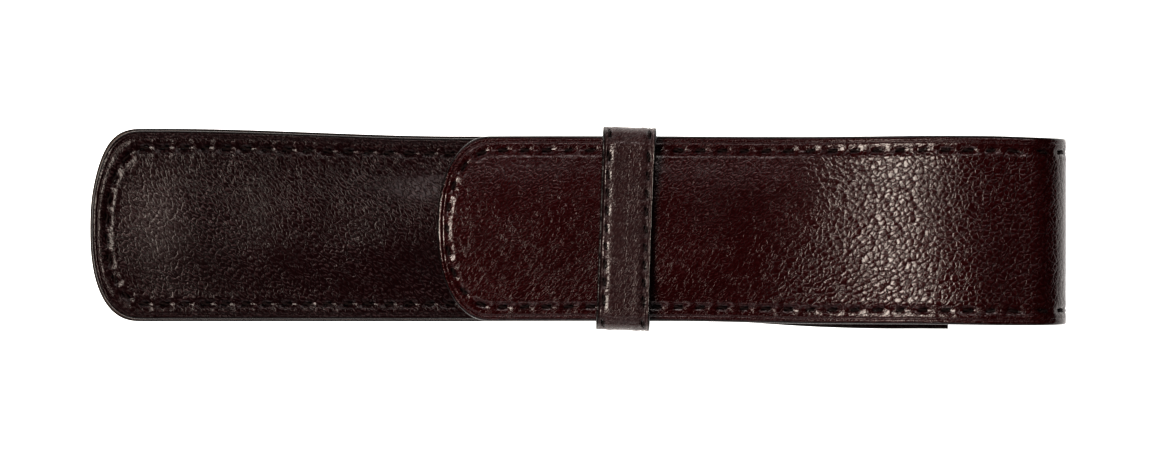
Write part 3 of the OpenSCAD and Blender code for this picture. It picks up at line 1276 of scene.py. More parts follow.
@dataclass(frozen=True)
class TableFinish:
    """A plain pale table top with a very faint unevenness, lit from within as well.

    Args:
        name: name of the finish.
        paint: its colour.
        glow: strength of its own light.
    """

    name: str = "pale table"
    paint: Colour = (0.86, 0.86, 0.86)
    glow: float = 1.10

    def material(self) -> bpy.types.Material:
        """Makes the material.

        Returns:
            The material.
        """
        material, board = blank(self.name)
        place = board.put("ShaderNodeTexCoord").outputs["Object"]
        cloud = board.noise(place, 3.0, 3.0, 0.5)
        colour = board.mix(board.times(cloud, 0.03), solid(self.paint),
                           solid(tuple(c * 0.93 for c in self.paint)))
        finish(board, ("Base Color", colour), ("Roughness", 0.75),
               ("Emission Color", solid(self.paint)), ("Emission Strength", self.glow))
        return material


OXBLOOD = LeatherFinish(
    "oxblood leather", dye=(0.020, 0.0009, 0.0014), deep=(0.006, 0.0005, 0.0006),
    light=(0.028, 0.0018, 0.0024), ridge_highlight=(0.070, 0.026, 0.028), rough=0.18, gleam=0.34,
    grain=0.044, creases=0.34, scratches=0.6, pitch=3.7)
DARK_BROWN = LeatherFinish(
    "dark brown leather", dye=(0.0085, 0.0016, 0.0021), deep=(0.003, 0.0007, 0.0009),
    light=(0.014, 0.0030, 0.0038), ridge_highlight=(0.072, 0.044, 0.047), rough=0.18, gleam=0.17,
    fine=0.50, grain=0.060, creases=0.50, scratches=0.25, pitch=3.45)
BAND_BROWN = LeatherFinish(
    "keeper leather", dye=(0.027, 0.0105, 0.0115), deep=(0.008, 0.0036, 0.0040), light=(0.042, 0.019, 0.020),
    ridge_highlight=(0.110, 0.078, 0.078), rough=0.22, gleam=0.34,
    fine=0.46, grain=0.075, creases=0.40, scratches=0.2, pitch=3.0, line=0.6, slit=1.3)
LINING_BROWN = LeatherFinish(
    "lining leather", dye=(0.060, 0.034, 0.026), deep=(0.032, 0.018, 0.014), light=(0.080, 0.048, 0.036),
    rough=0.55, gleam=0.25, fine=0.30, grain=0.035, creases=0.25, scratches=0.15, pitch=3.6)
DARK_THREAD = ThreadFinish("waxed thread", dye=(0.008, 0.0030, 0.0032), light=(0.028, 0.015, 0.014))
BAND_THREAD = ThreadFinish("keeper thread", dye=(0.011, 0.0055, 0.0058), light=(0.036, 0.022, 0.021))


# ---------------------------------------------------------------- the sleeve


@dataclass
class Workbench:
    """The finishes as materials, and the one way in which every piece joins the sleeve."""

    flap: bpy.types.Material
    pocket: bpy.types.Material
    keeper: bpy.types.Material
    lining: bpy.types.Material
    thread: bpy.types.Material
    keeper_thread: bpy.types.Material

    @classmethod
    def open(cls) -> "Workbench":
        """Makes the materials."""
        return cls(OXBLOOD.material(), DARK_BROWN.material(), BAND_BROWN.material(), LINING_BROWN.material(),
                   DARK_THREAD.material(), BAND_THREAD.material())

    def of(self, slot: Slot) -> bpy.types.Material:
        """The material of a slot."""
        return {Slot.FLAP: self.flap, Slot.POCKET: self.pocket, Slot.KEEPER: self.keeper,
                Slot.LINING: self.lining, Slot.THREAD: self.thread,
                Slot.KEEPER_THREAD: self.keeper_thread}[slot]

    def dress(self, piece: bpy.types.Object, slot: Slot, nodes: Sequence[str],
              body: str | None = None) -> bpy.types.Object:
        """Gives a piece its material and its place in the part.

        Args:
            piece: the new piece.
            slot: its material slot.
            nodes: the parts that it stands for.
            body: the body that it rides on; without one the piece is left unattached.

        Returns:
            The piece.
        """
        piece.data.materials.append(self.of(slot))
        if nodes:
            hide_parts(*nodes)
        if body is not None:
            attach(piece, body)
        log.info("%s: %d points, stands for %s", piece.name, len(piece.data.vertices),
                 ", ".join(nodes) or "no part")
        return piece


@dataclass
class Strip:
    """The long strip: back, fold, flap and tongue, each in leather and lining.

    Args:
        sizes: the sleeve's sizes.
        end_round: how far the closed end's rounding reaches.
        end_power: squareness of the closed end.
        tip_round: how far the tongue's rounding reaches.
        tip_power: squareness of the tongue.
        droop: how far the flap's long edges bend down.
        droop_power: how late across the flap they start to.
        slope_start: where the flap starts to come down, from the outside of the fold.
        slope_end: where it lies flat on the pocket, from the outside of the fold.
        slope_power: how late along the flap it starts to rise towards the fold.
        flat_run: length beside the fold that its bending pieces take in.
        links: stiff links of the fold.
        seam_in: distance from the pocket's seam to the edge.
        flap_seam_in: distance from the flap's seam to the edge.
        tip_seam_in: distance from the flap's seam to the tongue's tip.
        pocket_pitch: distance between the pocket's stitches.
        flap_pitch: distance between the flap's stitches.
        flare: how far the +Y edge spreads at the closed end.
        shift: how far the sleeve lies to -Y at the fold.
        taper: how far the +Y edge draws in at the fold.
        wander: how far the long edges wander.
        widen: how far the -Y edge spreads towards the fold.
        leather_edge: radius of the leather's softened edge.
        lining_edge: radius of the lining's softened edge.
    """

    sizes: Measures
    end_round: float = 8.5
    end_power: float = 2.4
    tip_round: float = 9.0
    tip_power: float = 2.2
    droop: float = 1.6
    droop_power: float = 2.2
    slope_start: float = 13.5
    slope_end: float = 56.0
    slope_power: float = 1.35
    flat_run: float = 4.0
    links: int = 5
    seam_in: float = 2.6
    flap_seam_in: float = 2.4
    tip_seam_in: float = 1.7
    pocket_pitch: float = 3.45
    flap_pitch: float = 3.7
    flare: float = 1.30
    shift: float = 0.22
    taper: float = 0.32
    wander: float = 0.08
    widen: float = 0.35
    leather_edge: float = 0.38
    lining_edge: float = 0.25

    @property
    def arc(self) -> float:
        """Length of the fold's outer face."""
        return math.pi * self.sizes.fold_r

    def sway(self, x: Array, y: Array) -> Array:
        """Sideways places, with the closed end a little wide and the fold a little to -Y.

        Args:
            x: lengths along the sleeve.
            y: true lengths across it.

        Returns:
            The lengths across it as made.
        """
        half = self.sizes.case_half
        flare = self.flare * (1 - smooth((x - 13) / 50)) * smooth((y / half - 0.45) / 0.5)
        wander = self.wander * np.sin((x - 60) / 13.0) * smooth((x - 60) / 90)
        shift = -self.shift * smooth((x - 138) / 20) + wander
        taper = self.taper * smooth((x - 151) / 13) * smooth(y / half)
        return y + flare + shift - taper - self.spread(x, y)

    def flap_sway(self, x: Array, y: Array) -> Array:
        """Sideways places of the flap, which lies a little to -Y near the fold."""
        taper = self.taper * smooth((x - 151) / 13) * smooth(y / self.sizes.flap_half)
        wander = self.wander * np.sin((x - 60) / 13.0)
        return y - self.shift * smooth((x - 138) / 20) + wander - taper - self.spread(x, y)

    def spread(self, x: Array, y: Array) -> Array:
        """How far the -Y edge spreads out towards the fold."""
        return self.widen * smooth((x - 100) / 25) * smooth(-y / self.sizes.case_half)

    def slope_share(self, x: Array) -> Array:
        """1 at the fold, 0 where the flap lies on the pocket."""
        start = self.sizes.case_l - self.slope_end
        return smooth(np.maximum(0, (x - start) / (self.slope_end - self.slope_start)) ** self.slope_power)

    def flap_form(self, x: Array, y: Array) -> Array:
        """Height of the flap's outer face."""
        share = self.slope_share(x)
        edge = np.minimum(1, np.abs(y) / self.sizes.flap_half) ** self.droop_power
        return self.sizes.tongue_z + (self.sizes.fold_z - self.sizes.tongue_z) * share \
            - self.droop * (1 - share) * edge

    def place_back(self, x: Array, y: Array, depth: Array) -> Array:
        """Puts points of the back in place, depths counted up from its under face."""
        return np.c_[x - self.sizes.half_l, self.sway(x, y), self.sizes.back_z + depth]

    def place_flap(self, x: Array, y: Array, depth: Array) -> Array:
        """Puts points of the flap in place, depths counted down from its upper face."""
        return np.c_[x - self.sizes.half_l, self.flap_sway(x, y), self.flap_form(x, y) - depth]

    def place_fold(self, run: Array, y: Array, depth: Array) -> Array:
        """Puts points of the fold and of the flat strip beside it in place.

        Args:
            run: lengths along the strip's outer face, from the closed end.
            y: lengths across it.
            depth: depths under its outer face.

        Returns:
            The places.
        """
        m = self.sizes
        turn = np.clip((run - m.fold_x) / m.fold_r, 0, math.pi) - math.pi / 2
        before = np.minimum(run - m.fold_x, 0)
        after = np.maximum(run - m.fold_x - self.arc, 0)
        reach = m.fold_r - depth
        x = m.fold_x + reach * np.cos(turn) + before - after
        z = m.back_z + m.fold_r + reach * np.sin(turn)
        lower = run < m.fold_x + self.arc / 2
        across = np.where(lower, self.sway(x, y), self.flap_sway(x, y))
        return np.c_[x - m.half_l, across, z]

    def flap_run(self, x: Array) -> Array:
        """Length along the strip at a length along the sleeve, on the flap."""
        return 2 * self.sizes.fold_x + self.arc - x

    def back_seam(self) -> Seam:
        """The seam round the pocket, carried on to the fold."""
        m = self.sizes
        path = seam_round(m.front_tip, self.end_round, m.front_half, self.end_power, self.seam_in,
                          self.seam_in, m.fold_x - 1)
        return Seam.even(path, self.pocket_pitch)

    def flap_seam(self) -> Seam:
        """The seam round the flap."""
        m = self.sizes
        path = seam_round(m.tip_x, self.tip_round, m.flap_half, self.tip_power, self.flap_seam_in,
                          self.tip_seam_in, m.fold_x - 0.5)
        return Seam.even(path, self.flap_pitch)

    def pebbled(self, run: Array, across: Array) -> Array:
        """Share of round pebbles, which show where the leather is stretched towards the fold.

        Args:
            run: lengths along the strip from the closed end.
            across: lengths across it.

        Returns:
            The share at each place.
        """
        bent = run + 5.0 * np.sin(across / 9.0) + 3.0 * np.sin(across / 3.7 + 1.0)
        on_flap = smooth((226.0 - bent) / 16.0)
        return on_flap * smooth((run - 166.0) / 8.0) * smooth((17.0 - np.abs(across)) / 5.5)

    def link_runs(self) -> Array:
        """Lengths along the strip of the middles of the fold's links."""
        return self.sizes.fold_x + self.arc * (np.arange(self.links) + 0.5) / self.links

    def fold_seams(self) -> list[Seam]:
        """The two seams along the fold's edges, with the stitches that come before and after it."""
        m = self.sizes
        back = self.back_seam().marks()
        flap = self.flap_seam().marks()
        seams = []
        for side in (1, -1):
            before, after = ([x for x, y, _ in marks if y * side > 5 and m.fold_x - 20 < x < m.fold_x - 1.2]
                             for marks in (back, flap))
            after = [self.flap_run(x) for x in after]
            at = np.sort(np.r_[before, self.link_runs(), after])
            first, last = m.fold_x - 25, m.fold_x + self.arc + 25
            y = side * (m.flap_half - self.flap_seam_in)
            path = np.array([[first, y], [last, y]])
            seams.append(Seam(path, self.flap_pitch, at - first))
        return seams

    def layer(self, side: Side, place: Place, seams: Sequence[Seam], seam_in: float,
              run: Callable[[Array], Array] | None = None, seed: int = 5) -> Layer:
        """One layer of the strip.

        Args:
            side: the leather, or the lining.
            place: puts points of the flat sheet in place.
            seams: the seams through it.
            seam_in: distance from the seam to the edge.
            run: turns a length along the sleeve into one along the strip.
            seed: picks its ripples.

        Returns:
            The layer.
        """
        outer = side is Side.OUTER
        m = self.sizes
        ripples = Ripples(seed, 0.045 if outer else 0.03, 9.0)
        rounding = self.leather_edge if outer else self.lining_edge
        return Layer(
            place=place,
            face=0.0 if outer else m.strip,
            hidden=m.leather,
            rings=edge_rings(rounding, seam_in),
            rounding=rounding,
            rise=ripples,
            seams=seams,
            pucker=Pucker() if outer else Pucker(dip=0.16, swell=0.05),
            flat_at=(0.0, 0.0 if outer else LINING_AWAY),
            run=run,
            round=self.pebbled if outer else None,
        )

    def build_back(self, bench: Workbench) -> None:
        """Builds the back's leather and lining."""
        m = self.sizes
        line = rounded_half(0.0, self.end_round, m.case_half, self.end_power, m.fold_x - self.flat_run)
        seams = [self.back_seam()]
        for side, name, node in ((Side.OUTER, "BackLeather", "back_panel"),
                                 (Side.INNER, "BackLining", "back_lining")):
            layer = self.layer(side, self.place_back, seams, self.seam_in + 0.4)
            cloth = rounded_sheet(layer, line, 0.36, 14, False)
            slot = Slot.FLAP if side is Side.OUTER else Slot.LINING
            bench.dress(cloth.make(name), slot, [node], "pocket")

    def build_flap(self, bench: Workbench) -> None:
        """Builds the flap with its tongue, in leather and lining."""
        m = self.sizes
        line = rounded_half(m.tip_x, self.tip_round, m.flap_half, self.tip_power, m.fold_x - self.flat_run)
        seams = [self.flap_seam()]
        for side, name, word in ((Side.OUTER, "FlapLeather", "leather"),
                                 (Side.INNER, "FlapLining", "lining")):
            layer = self.layer(side, self.place_flap, seams, self.flap_seam_in, self.flap_run, 11)
            cloth = rounded_sheet(layer, line, 0.30, 20, False)
            slot = Slot.FLAP if side is Side.OUTER else Slot.LINING
            bench.dress(cloth.make(name), slot, [f"flap_{word}", f"tongue_{word}"], "flap")

    def build_fold(self, bench: Workbench) -> None:
        """Builds the fold as leather and lining, cut into one piece for each pair of neighbouring bodies; the
        pieces are not attached to any body.
        """
        m = self.sizes
        chain = ["pocket"] + [f"fold_{k}" for k in range(1, self.links + 1)] + ["flap"]
        stops = np.r_[m.fold_x - self.flat_run, self.link_runs(), m.fold_x + self.arc + self.flat_run]
        seams = self.fold_seams()
        for side, name, word in ((Side.OUTER, "FoldLeather", "leather"),
                                 (Side.INNER, "FoldLining", "lining")):
            layer = self.layer(side, self.place_fold, seams, self.flap_seam_in, None, 11)
            for k, (a, b) in enumerate(zip(chain, chain[1:])):
                low, high = stops[k], stops[k + 1]
                along = np.linspace(low, high, 2 + int((high - low) / 0.25))
                piece = open_strip(layer, along, m.flap_half, 20).make(f"{name}_{k + 1}")
                slot = Slot.FLAP if side is Side.OUTER else Slot.LINING
                nodes = [f"fold_{word}_{k}"] if k else []
                bench.dress(piece, slot, nodes)
                zero = np.zeros(1)
                start = self.place_fold(np.array([low]), zero, zero)[0] * MM
                end = self.place_fold(np.array([high]), zero, zero)[0] * MM
                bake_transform(piece)


@dataclass
class Pocket:
    """The crowned front panel with its lining, sewn on the back.

    Args:
        strip: the strip that it is sewn on.
        margin: width of the flat sewn margin.
        crown_ramp: width of the curve from the margin up to the crown.
        empty: share of the crown that is left at the closed end, where no pen holds it up.
        end_ramp: length of the curve up from the closed end.
        hem_in: distance from the hem's stitches to the mouth.
        slack: how far the -Y edge spreads near the mouth.
    """

    strip: Strip
    margin: float = 3.2
    crown_ramp: float = 10.0
    empty: float = 0.26
    end_ramp: float = 17.0
    hem_in: float = 2.6
    slack: float = 1.25

    def sway(self, x: Array, y: Array) -> Array:
        """Sideways places: wide at the closed end like the back, and slack on its -Y side near the mouth."""
        half = self.strip.sizes.case_half
        slack = -self.slack * smooth((x - 96) / 42) * smooth((-y / half - 0.35) / 0.6)
        return self.strip.sway(x, y) + slack

    def form(self, x: Array, y: Array) -> Array:
        """Height of the panel's outer face."""
        m = self.strip.sizes
        across = smooth((m.front_half - np.abs(y) - self.margin) / self.crown_ramp)
        across = across * (self.empty + (1 - self.empty) * smooth((x - 22) / 50))
        return m.margin_z + m.crown * across * smooth((x - self.margin) / self.end_ramp)

    def place(self, x: Array, y: Array, depth: Array) -> Array:
        """Puts points of the panel in place, depths counted down from its upper face."""
        return np.c_[x - self.strip.sizes.half_l, self.sway(x, y), self.form(x, y) - depth]

    def hem(self) -> Seam:
        """The row of stitches across the mouth."""
        m = self.strip.sizes
        half = m.case_half - self.hem_in
        x = m.mouth_x - self.hem_in
        whole = Seam.even(np.array([[x, -half], [x, half]]), self.strip.pocket_pitch)
        y = whole.at - half
        keep = np.abs(y) < m.front_half - 2 * self.hem_in
        return Seam(whole.path, whole.pitch, whole.at[keep])

    def build(self, bench: Workbench) -> None:
        """Builds the panel's leather and lining."""
        s, m = self.strip, self.strip.sizes
        line = rounded_half(m.front_tip, s.end_round, m.front_half, s.end_power, m.mouth_x)
        seams = [s.back_seam(), self.hem()]
        for side, name, node in ((Side.OUTER, "PocketLeather", "front_panel"),
                                 (Side.INNER, "PocketLining", "front_lining")):
            outer = side is Side.OUTER
            layer = s.layer(side, self.place, seams, s.seam_in, None, 23)
            layer.flat_at = (POCKET_AWAY, 0.0 if outer else LINING_AWAY)
            layer.round = None
            if outer:
                layer.rise = Ripples(23, 0.07, 8.0)
            cloth = rounded_sheet(layer, line, 0.30 if outer else 0.5, 20, True)
            bench.dress(cloth.make(name), Slot.POCKET if outer else Slot.LINING, [node], "pocket")


@dataclass
class Keeper:
    """The loop round the sleeve, whose ends meet under it.

    Args:
        sizes: the sleeve's sizes.
        width: width of the band.
        lean: how far its +Y end leans towards the fold, in degrees.
        top_r: bend over the flap's edges.
        bottom_r: bend under the back's edges.
        seam_in: distance from its seams to its edges.
        pitch: distance between its stitches.
        join_row: from its middle to the two stitches of each join row.
    """

    sizes: Measures
    width: float = 9.0
    lean: float = 1.85
    top_r: float = 3.4
    bottom_r: float = 1.3
    seam_in: float = 1.15
    pitch: float = 3.0
    join_row: float = 1.7

    def line(self) -> Array:
        """Outline of the loop across the sleeve, from under its middle round by +Y."""
        m = self.sizes
        half, top = m.keeper_half, m.keeper_z
        points = [[0.0, 0.0]]
        for y, z, r, start in ((half - self.bottom_r, self.bottom_r, self.bottom_r, -90),
                               (half - self.top_r, top - self.top_r, self.top_r, 0),
                               (self.top_r - half, top - self.top_r, self.top_r, 90),
                               (self.bottom_r - half, self.bottom_r, self.bottom_r, 180)):
            angles = np.radians(start + np.linspace(0, 90, 28))
            points += np.c_[y + r * np.cos(angles), z + r * np.sin(angles)].tolist()
        points.append([0.0, 0.0])
        return np.array(points)

    def place(self, run: Array, w: Array, depth: Array) -> Array:
        """Puts points of the band in place.

        Args:
            run: lengths round the loop.
            w: lengths across the band.
            depth: depths under its outer face.

        Returns:
            The places.
        """
        line = self.line()
        along = run_of(line)
        tiny = 0.05
        y, z = np.interp(run, along, line[:, 0]), np.interp(run, along, line[:, 1])
        ty = np.interp(run + tiny, along, line[:, 0]) - np.interp(run - tiny, along, line[:, 0])
        tz = np.interp(run + tiny, along, line[:, 1]) - np.interp(run - tiny, along, line[:, 1])
        size = np.hypot(ty, tz)
        y, z = y - depth * tz / size, z + depth * ty / size
        wide = w * (1 + 0.012 * np.sin(run / 9.0)) + 0.10 * np.sin(run / 14.0 + 1.0)
        turn = math.radians(self.lean)
        x = wide * math.cos(turn) + y * math.sin(turn)
        across = y * math.cos(turn) - wide * math.sin(turn)
        return np.c_[x + self.sizes.keeper_x - self.sizes.half_l, across, np.maximum(z, 0.0)]

    def stitch_runs(self) -> Array:
        """Lengths round the loop of the stitches of a seam."""
        m = self.sizes
        line = self.line()
        along = run_of(line)
        half = len(line) // 2
        count = int((m.keeper_half - self.top_r) // self.pitch)
        under = [n * self.pitch for n in range(1, count + 1)]
        side_h = m.keeper_z - self.top_r - self.bottom_r
        sides = [float(np.interp(self.bottom_r + side_h * share, line[2:half, 1], along[2:half]))
                 for share in (0.25, 0.75)]
        bend_end = along[-1] / 2 - (m.keeper_half - self.top_r)
        bend = bend_end - self.top_r * math.pi / 4
        over = [along[-1] / 2 - n * self.pitch for n in range(count, 0, -1)]
        one = np.array(under + sides + [bend] + over)
        return np.r_[one, along[-1] / 2, along[-1] - one[::-1]]

    def seams(self) -> list[Seam]:
        """The two seams along the band's edges, left and right."""
        total = run_of(self.line())[-1]
        w = self.width / 2 - self.seam_in
        return [Seam(np.array([[0.0, side * w], [total, side * w]]), self.pitch, self.stitch_runs())
                for side in (-1, 1)]

    def build(self, bench: Workbench) -> None:
        """Builds the band, its lining and its stitches."""
        m = self.sizes
        total = run_of(self.line())[-1]
        along = np.linspace(0.06, total - 0.06, int(total / 0.28))
        thick = m.keeper_band + m.keeper_lining
        for side, name, node in ((Side.OUTER, "KeeperLeather", "keeper_band"),
                                 (Side.INNER, "KeeperLining", "keeper_lining")):
            outer = side is Side.OUTER
            layer = Layer(
                place=self.place,
                face=0.0 if outer else thick,
                hidden=m.keeper_band,
                rings=edge_rings(0.25, self.seam_in + 0.15, 2.7) if outer else np.r_[0, 0.1, 0.3, 1.0],
                rounding=0.25 if outer else 0.15,
                rise=Ripples(31, 0.035, 7.0) if outer else Ripples(31, 0.015, 7.0),
                seams=self.seams() if outer else (),
                pucker=Pucker(dip=0.24, swell=0.06, width=0.42, seed=9),
                flat_at=(KEEPER_AWAY, 0.0 if outer else LINING_AWAY),
            )
            cloth = open_strip(layer, along, self.width / 2, 10, walls=True)
            bench.dress(cloth.make(name), Slot.KEEPER if outer else Slot.LINING, [node], "keeper")
        left, right = self.seams()
        sewing = Stitching(length=1.9, radius=0.21, sink=0.20)
        for seam, name, node in ((left, "KeeperStitchesLeft", "keeper_seam_left"),
                                 (right, "KeeperStitchesRight", "keeper_seam_right")):
            cloth = sewing.row(seam.marks(), self.place, 0.0, 1, 40)
            bench.dress(cloth.make(name), Slot.KEEPER_THREAD, [node], "keeper")
        joins = [[row * self.pitch / 2 + (total if row < 0 else 0), half * self.join_row, math.pi / 2]
                 for row in (-1, 1) for half in (-1, 1)]
        cloth = sewing.row(np.array(joins), self.place, 0.0, 1, 60)
        bench.dress(cloth.make("KeeperJoinStitches"), Slot.KEEPER_THREAD, ["keeper_join_thread"], "keeper")


@dataclass(frozen=True)
class Stitching:
    """Stitches of twisted thread that sink into the leather at both ends.

    Args:
        length: length of a stitch.
        radius: radius of the thread.
        sink: depth of the thread's middle under the leather's face.
        dive: how much deeper its ends go.
        slant: how far a stitch turns from the seam.
        rounds: points round the thread.
        steps: points along a stitch.
    """

    length: float = 2.1
    radius: float = 0.23
    sink: float = 0.24
    dive: float = 0.42
    slant: float = -0.24
    rounds: int = 12
    steps: int = 17

    def row(self, marks: Array, place: Place, face: float, inward: int, seed: int) -> Cloth:
        """Sews a row of stitches.

        Args:
            marks: places and headings of the stitches.
            place: puts points of the flat sheet in place.
            face: depth of the face that they are sewn into.
            inward: 1 where the leather is deeper than that face, -1 where it is less deep.
            seed: picks how much they differ.

        Returns:
            The stitches in the making.
        """
        rng = np.random.default_rng(seed)
        k, n, r = len(marks), self.steps, self.rounds
        t = np.linspace(-1, 1, n)
        turn = marks[:, 2] + self.slant + rng.uniform(-0.08, 0.08, k)
        length = self.length * rng.uniform(0.9, 1.08, k) / 2
        sink = self.sink + rng.uniform(-0.03, 0.05, k)
        x = marks[:, :1] + np.cos(turn)[:, None] * length[:, None] * t
        y = marks[:, 1:2] + np.sin(turn)[:, None] * length[:, None] * t
        depth = face + inward * (sink[:, None] + self.dive * np.abs(t) ** 2.6)
        line = place(x.ravel(), y.ravel(), depth.ravel()).reshape(k, n, 3)
        above = place(x.ravel(), y.ravel(), (depth - inward * 0.5).ravel()).reshape(k, n, 3)
        ahead = np.gradient(line, axis=1)
        ahead /= np.linalg.norm(ahead, axis=2)[..., None]
        up = above - line
        side = np.cross(ahead, up)
        side /= np.linalg.norm(side, axis=2)[..., None]
        up = np.cross(side, ahead)
        angle = np.linspace(0, math.tau, r, endpoint=False)
        spin = 2 * (angle[None, :] - t[:, None] * 4.2)
        taper = np.sqrt(np.clip(1 - np.abs(t) ** 7, 0.03, 1))
        reach = self.radius * taper[:, None] * (1 + 0.17 * np.cos(spin))
        points = (line[:, :, None, :] + side[:, :, None, :] * (reach * np.cos(angle))[None, :, :, None]
                  + up[:, :, None, :] * (reach * np.sin(angle))[None, :, :, None])
        faces: list[Sequence[int]] = []
        for s in range(k):
            at = s * n * r
            faces += [(at + i * r + j, at + i * r + (j + 1) % r,
                       at + (i + 1) * r + (j + 1) % r, at + (i + 1) * r + j)
                      for i in range(n - 1) for j in range(r)]
            faces.append(tuple(range(at, at + r)))
            faces.append(tuple(range(at + n * r - 1, at + (n - 1) * r - 1, -1)))
        along = (t[None, :] * length[:, None])[..., None] + marks[:, :1, None] * 7.0
        along = np.broadcast_to(along, (k, n, r))
        round_it = np.broadcast_to(angle * self.radius - t[:, None] * 0.8, (k, n, r))
        # Crown of each stitch, the side away from the leather, stored as its rim; the thread finish paints a
        # highlight there
        crown = np.broadcast_to(np.sin(angle) * (1 - t[:, None] ** 2) + 0.25 * np.cos(spin), (k, n, r))
        flat = np.c_[along.ravel(), round_it.ravel()]
        return Cloth(points.reshape(-1, 3), faces, flat, crown.ravel(), flat * 0.0)


@dataclass
class Sewing:
    """All the stitches of the strip and the pocket.

    Args:
        strip: the strip.
        pocket: the pocket.
        thread: how the stitches are sewn.
        tongue_run: from the keeper's middle to where the tongue's thread starts.
    """

    strip: Strip
    pocket: Pocket
    thread: Stitching = Stitching()
    tongue_run: float = 20.5

    def both_faces(self, marks: Array, upper: tuple[Place, float, int], lower: tuple[Place, float, int],
                   seed: int) -> Cloth:
        """Stitches through the leather, seen on both its faces.

        Args:
            marks: places and headings of the stitches.
            upper: the upper face's place, depth and inward way.
            lower: the same of the lower face.
            seed: picks how much they differ.

        Returns:
            The stitches in the making.
        """
        a = self.thread.row(marks, *upper, seed)
        b = self.thread.row(marks, *lower, seed + 1)
        shift = len(a.points)
        faces = a.faces + [tuple(p + shift for p in f) for f in b.faces]
        return Cloth(np.vstack([a.points, b.points]), faces, np.vstack([a.flat, b.flat]),
                     np.r_[a.rim, b.rim], np.vstack([a.seam, b.seam]))

    def build(self, bench: Workbench) -> None:
        """Sews the pocket, the throat, the hem, the fold, the flap and the tongue."""
        s, m = self.strip, self.strip.sizes
        t = m.strip
        half = self.thread.length / 2
        back = s.back_seam().marks()
        flap = s.flap_seam().marks()
        tongue_x = m.keeper_x + self.tongue_run
        on_pocket = back[back[:, 0] < m.mouth_x - half]
        in_throat = back[(back[:, 0] > m.mouth_x + half) & (back[:, 0] < m.fold_x - half)]
        on_flap = flap[(flap[:, 0] > tongue_x) & (flap[:, 0] < m.fold_x - half)]
        on_tongue = flap[flap[:, 0] <= tongue_x]
        under = (s.place_back, 0.0, 1)
        rows = (
            ("PocketStitches", "pocket_seam_thread", on_pocket, (self.pocket.place, 0.0, 1), under, "pocket"),
            ("ThroatStitches", "throat_seam_thread", in_throat, (s.place_back, t, -1), under, "pocket"),
            ("HemStitches", "mouth_hem_thread", self.pocket.hem().marks(), (self.pocket.place, 0.0, 1),
             (self.pocket.place, t, -1), "pocket"),
            ("FlapStitches", "flap_thread", on_flap, (s.place_flap, 0.0, 1), (s.place_flap, t, -1), "flap"),
            ("TongueStitches", "tongue_thread", on_tongue, (s.place_flap, 0.0, 1), (s.place_flap, t, -1),
             "flap"),
        )
        for seed, (name, node, marks, upper, lower, body) in enumerate(rows):
            cloth = self.both_faces(marks, upper, lower, 100 + 10 * seed)
            bench.dress(cloth.make(name), Slot.THREAD, [node], body)
        for k, run in enumerate(s.link_runs(), start=1):
            marks = np.array([[run, side * (m.flap_half - s.flap_seam_in), 0.0] for side in (-1, 1)])
            cloth = self.both_faces(marks, (s.place_fold, 0.0, 1), (s.place_fold, t, -1), 200 + 10 * k)
            bench.dress(cloth.make(f"FoldStitches_{k}"), Slot.THREAD, [f"fold_thread_{k}"], f"fold_{k}")


# ---------------------------------------------------------------- the studio


@dataclass(frozen=True)
class SoftBox:
    """A soft light over the table.

    Args:
        name: its name.
        at: its place in metres.
        size: its width and height in metres.
        watts: its power.
        tint: its colour.
    """

    name: str
    at: tuple[float, float, float]
    size: tuple[float, float]
    watts: float
    tint: Colour = (1.0, 1.0, 1.0)

    def hang(self) -> bpy.types.Object:
        """Hangs the light so that it faces the sleeve."""
        light = bpy.data.lights.new(self.name, "AREA")
        light.shape = "RECTANGLE"
        light.size, light.size_y = self.size
        light.energy = self.watts
        light.color = self.tint
        lamp = bpy.data.objects.new(self.name, light)
        lamp.location = self.at
        lamp.rotation_euler = (-Vector(self.at)).to_track_quat("-Z", "Y").to_euler()
        bpy.context.scene.collection.objects.link(lamp)
        return lamp


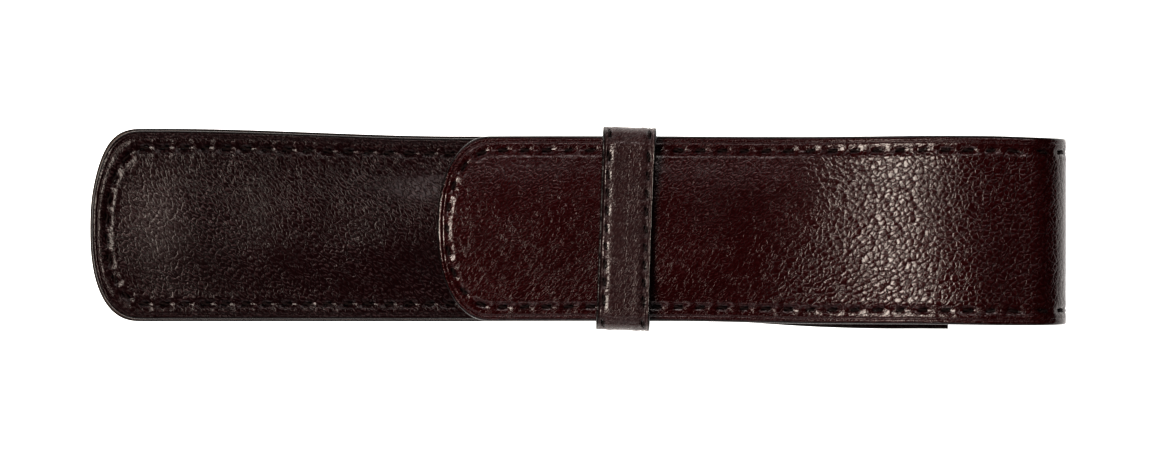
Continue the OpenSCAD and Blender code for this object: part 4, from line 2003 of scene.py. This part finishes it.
@dataclass(frozen=True)
class Studio:
    """A pale table, soft lights and a camera straight above the sleeve.

    Args:
        camera_at: the camera's place in metres.
        lens: its focal length in millimetres.
        world: brightness of the dim room.
        table: half the table's width in metres.
    """

    camera_at: tuple[float, float, float] = (0.00153, -0.0002, 0.6)
    lens: float = 108.2
    world: float = 0.018
    table: float = 3.0

    def lights(self) -> tuple[SoftBox, ...]:
        """A window on the closed end's side, a box beyond the sleeve, one before it, and two low ones."""
        return (
            SoftBox("window", (-0.40, 0.03, 0.66), (0.27, 0.34), 5.4, (1.0, 0.92, 0.83)),
            SoftBox("far box", (0.04, 0.32, 0.66), (0.34, 0.14), 0.85, (1.0, 0.95, 0.93)),
            SoftBox("near box", (-0.12, -0.46, 0.56), (0.40, 0.14), 0.5, (1.0, 0.95, 0.93)),
            SoftBox("low far box", (-0.30, 0.80, 0.34), (0.80, 0.30), 1.2),
            SoftBox("low near box", (-0.20, -0.85, 0.34), (0.80, 0.30), 1.0),
        )

    def build(self, floor_z: float) -> None:
        """Sets up the table, the lights, the room and the camera.

        Args:
            floor_z: height of the table top in metres.
        """
        t = self.table
        mesh = bpy.data.meshes.new("Table")
        corners = [(-t, -t, floor_z), (t, -t, floor_z), (t, t, floor_z), (-t, t, floor_z)]
        mesh.from_pydata(corners, [], [(0, 1, 2, 3)])
        mesh.materials.append(TableFinish().material())
        table = bpy.data.objects.new("Table", mesh)
        bpy.context.scene.collection.objects.link(table)
        table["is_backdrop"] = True
        for box in self.lights():
            box.hang()
        world = bpy.data.worlds.new("room")
        world.use_nodes = True
        backdrop = world.node_tree.nodes.get("Background")
        if backdrop is None:
            backdrop = world.node_tree.nodes.new("ShaderNodeBackground")
            out = world.node_tree.nodes.new("ShaderNodeOutputWorld")
            world.node_tree.links.new(backdrop.outputs[0], out.inputs[0])
        backdrop.inputs["Color"].default_value = (self.world, self.world, self.world, 1.0)
        backdrop.inputs["Strength"].default_value = 1.0
        bpy.context.scene.world = world
        lens = bpy.data.cameras.new("Camera")
        lens.lens = self.lens
        lens.sensor_width = 36.0
        lens.clip_start = 0.01
        camera = bpy.data.objects.new("Camera", lens)
        camera.location = self.camera_at
        bpy.context.scene.collection.objects.link(camera)
        bpy.context.scene.camera = camera
        bpy.context.scene.view_settings.view_transform = "Standard"
        bpy.context.scene.view_settings.look = "High Contrast"


def as_lists(corners: tuple[Vector, Vector]) -> list[list[float]]:
    """A box as plain lists of numbers."""
    return [list(map(float, corner)) for corner in corners]


def main() -> None:
    """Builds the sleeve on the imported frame, and the studio round it."""
    logging.basicConfig(level=logging.INFO, format="%(message)s")
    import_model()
    cad_box = as_lists(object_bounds())
    sizes = Measures.read()
    bench = Workbench.open()
    strip = Strip(sizes)
    pocket = Pocket(strip)
    strip.build_back(bench)
    strip.build_fold(bench)
    strip.build_flap(bench)
    pocket.build(bench)
    Sewing(strip, pocket).build(bench)
    Keeper(sizes).build(bench)
    Studio().build(cad_box[0][2])
    bpy.context.view_layer.update()


if __name__ == "__main__":
    main()
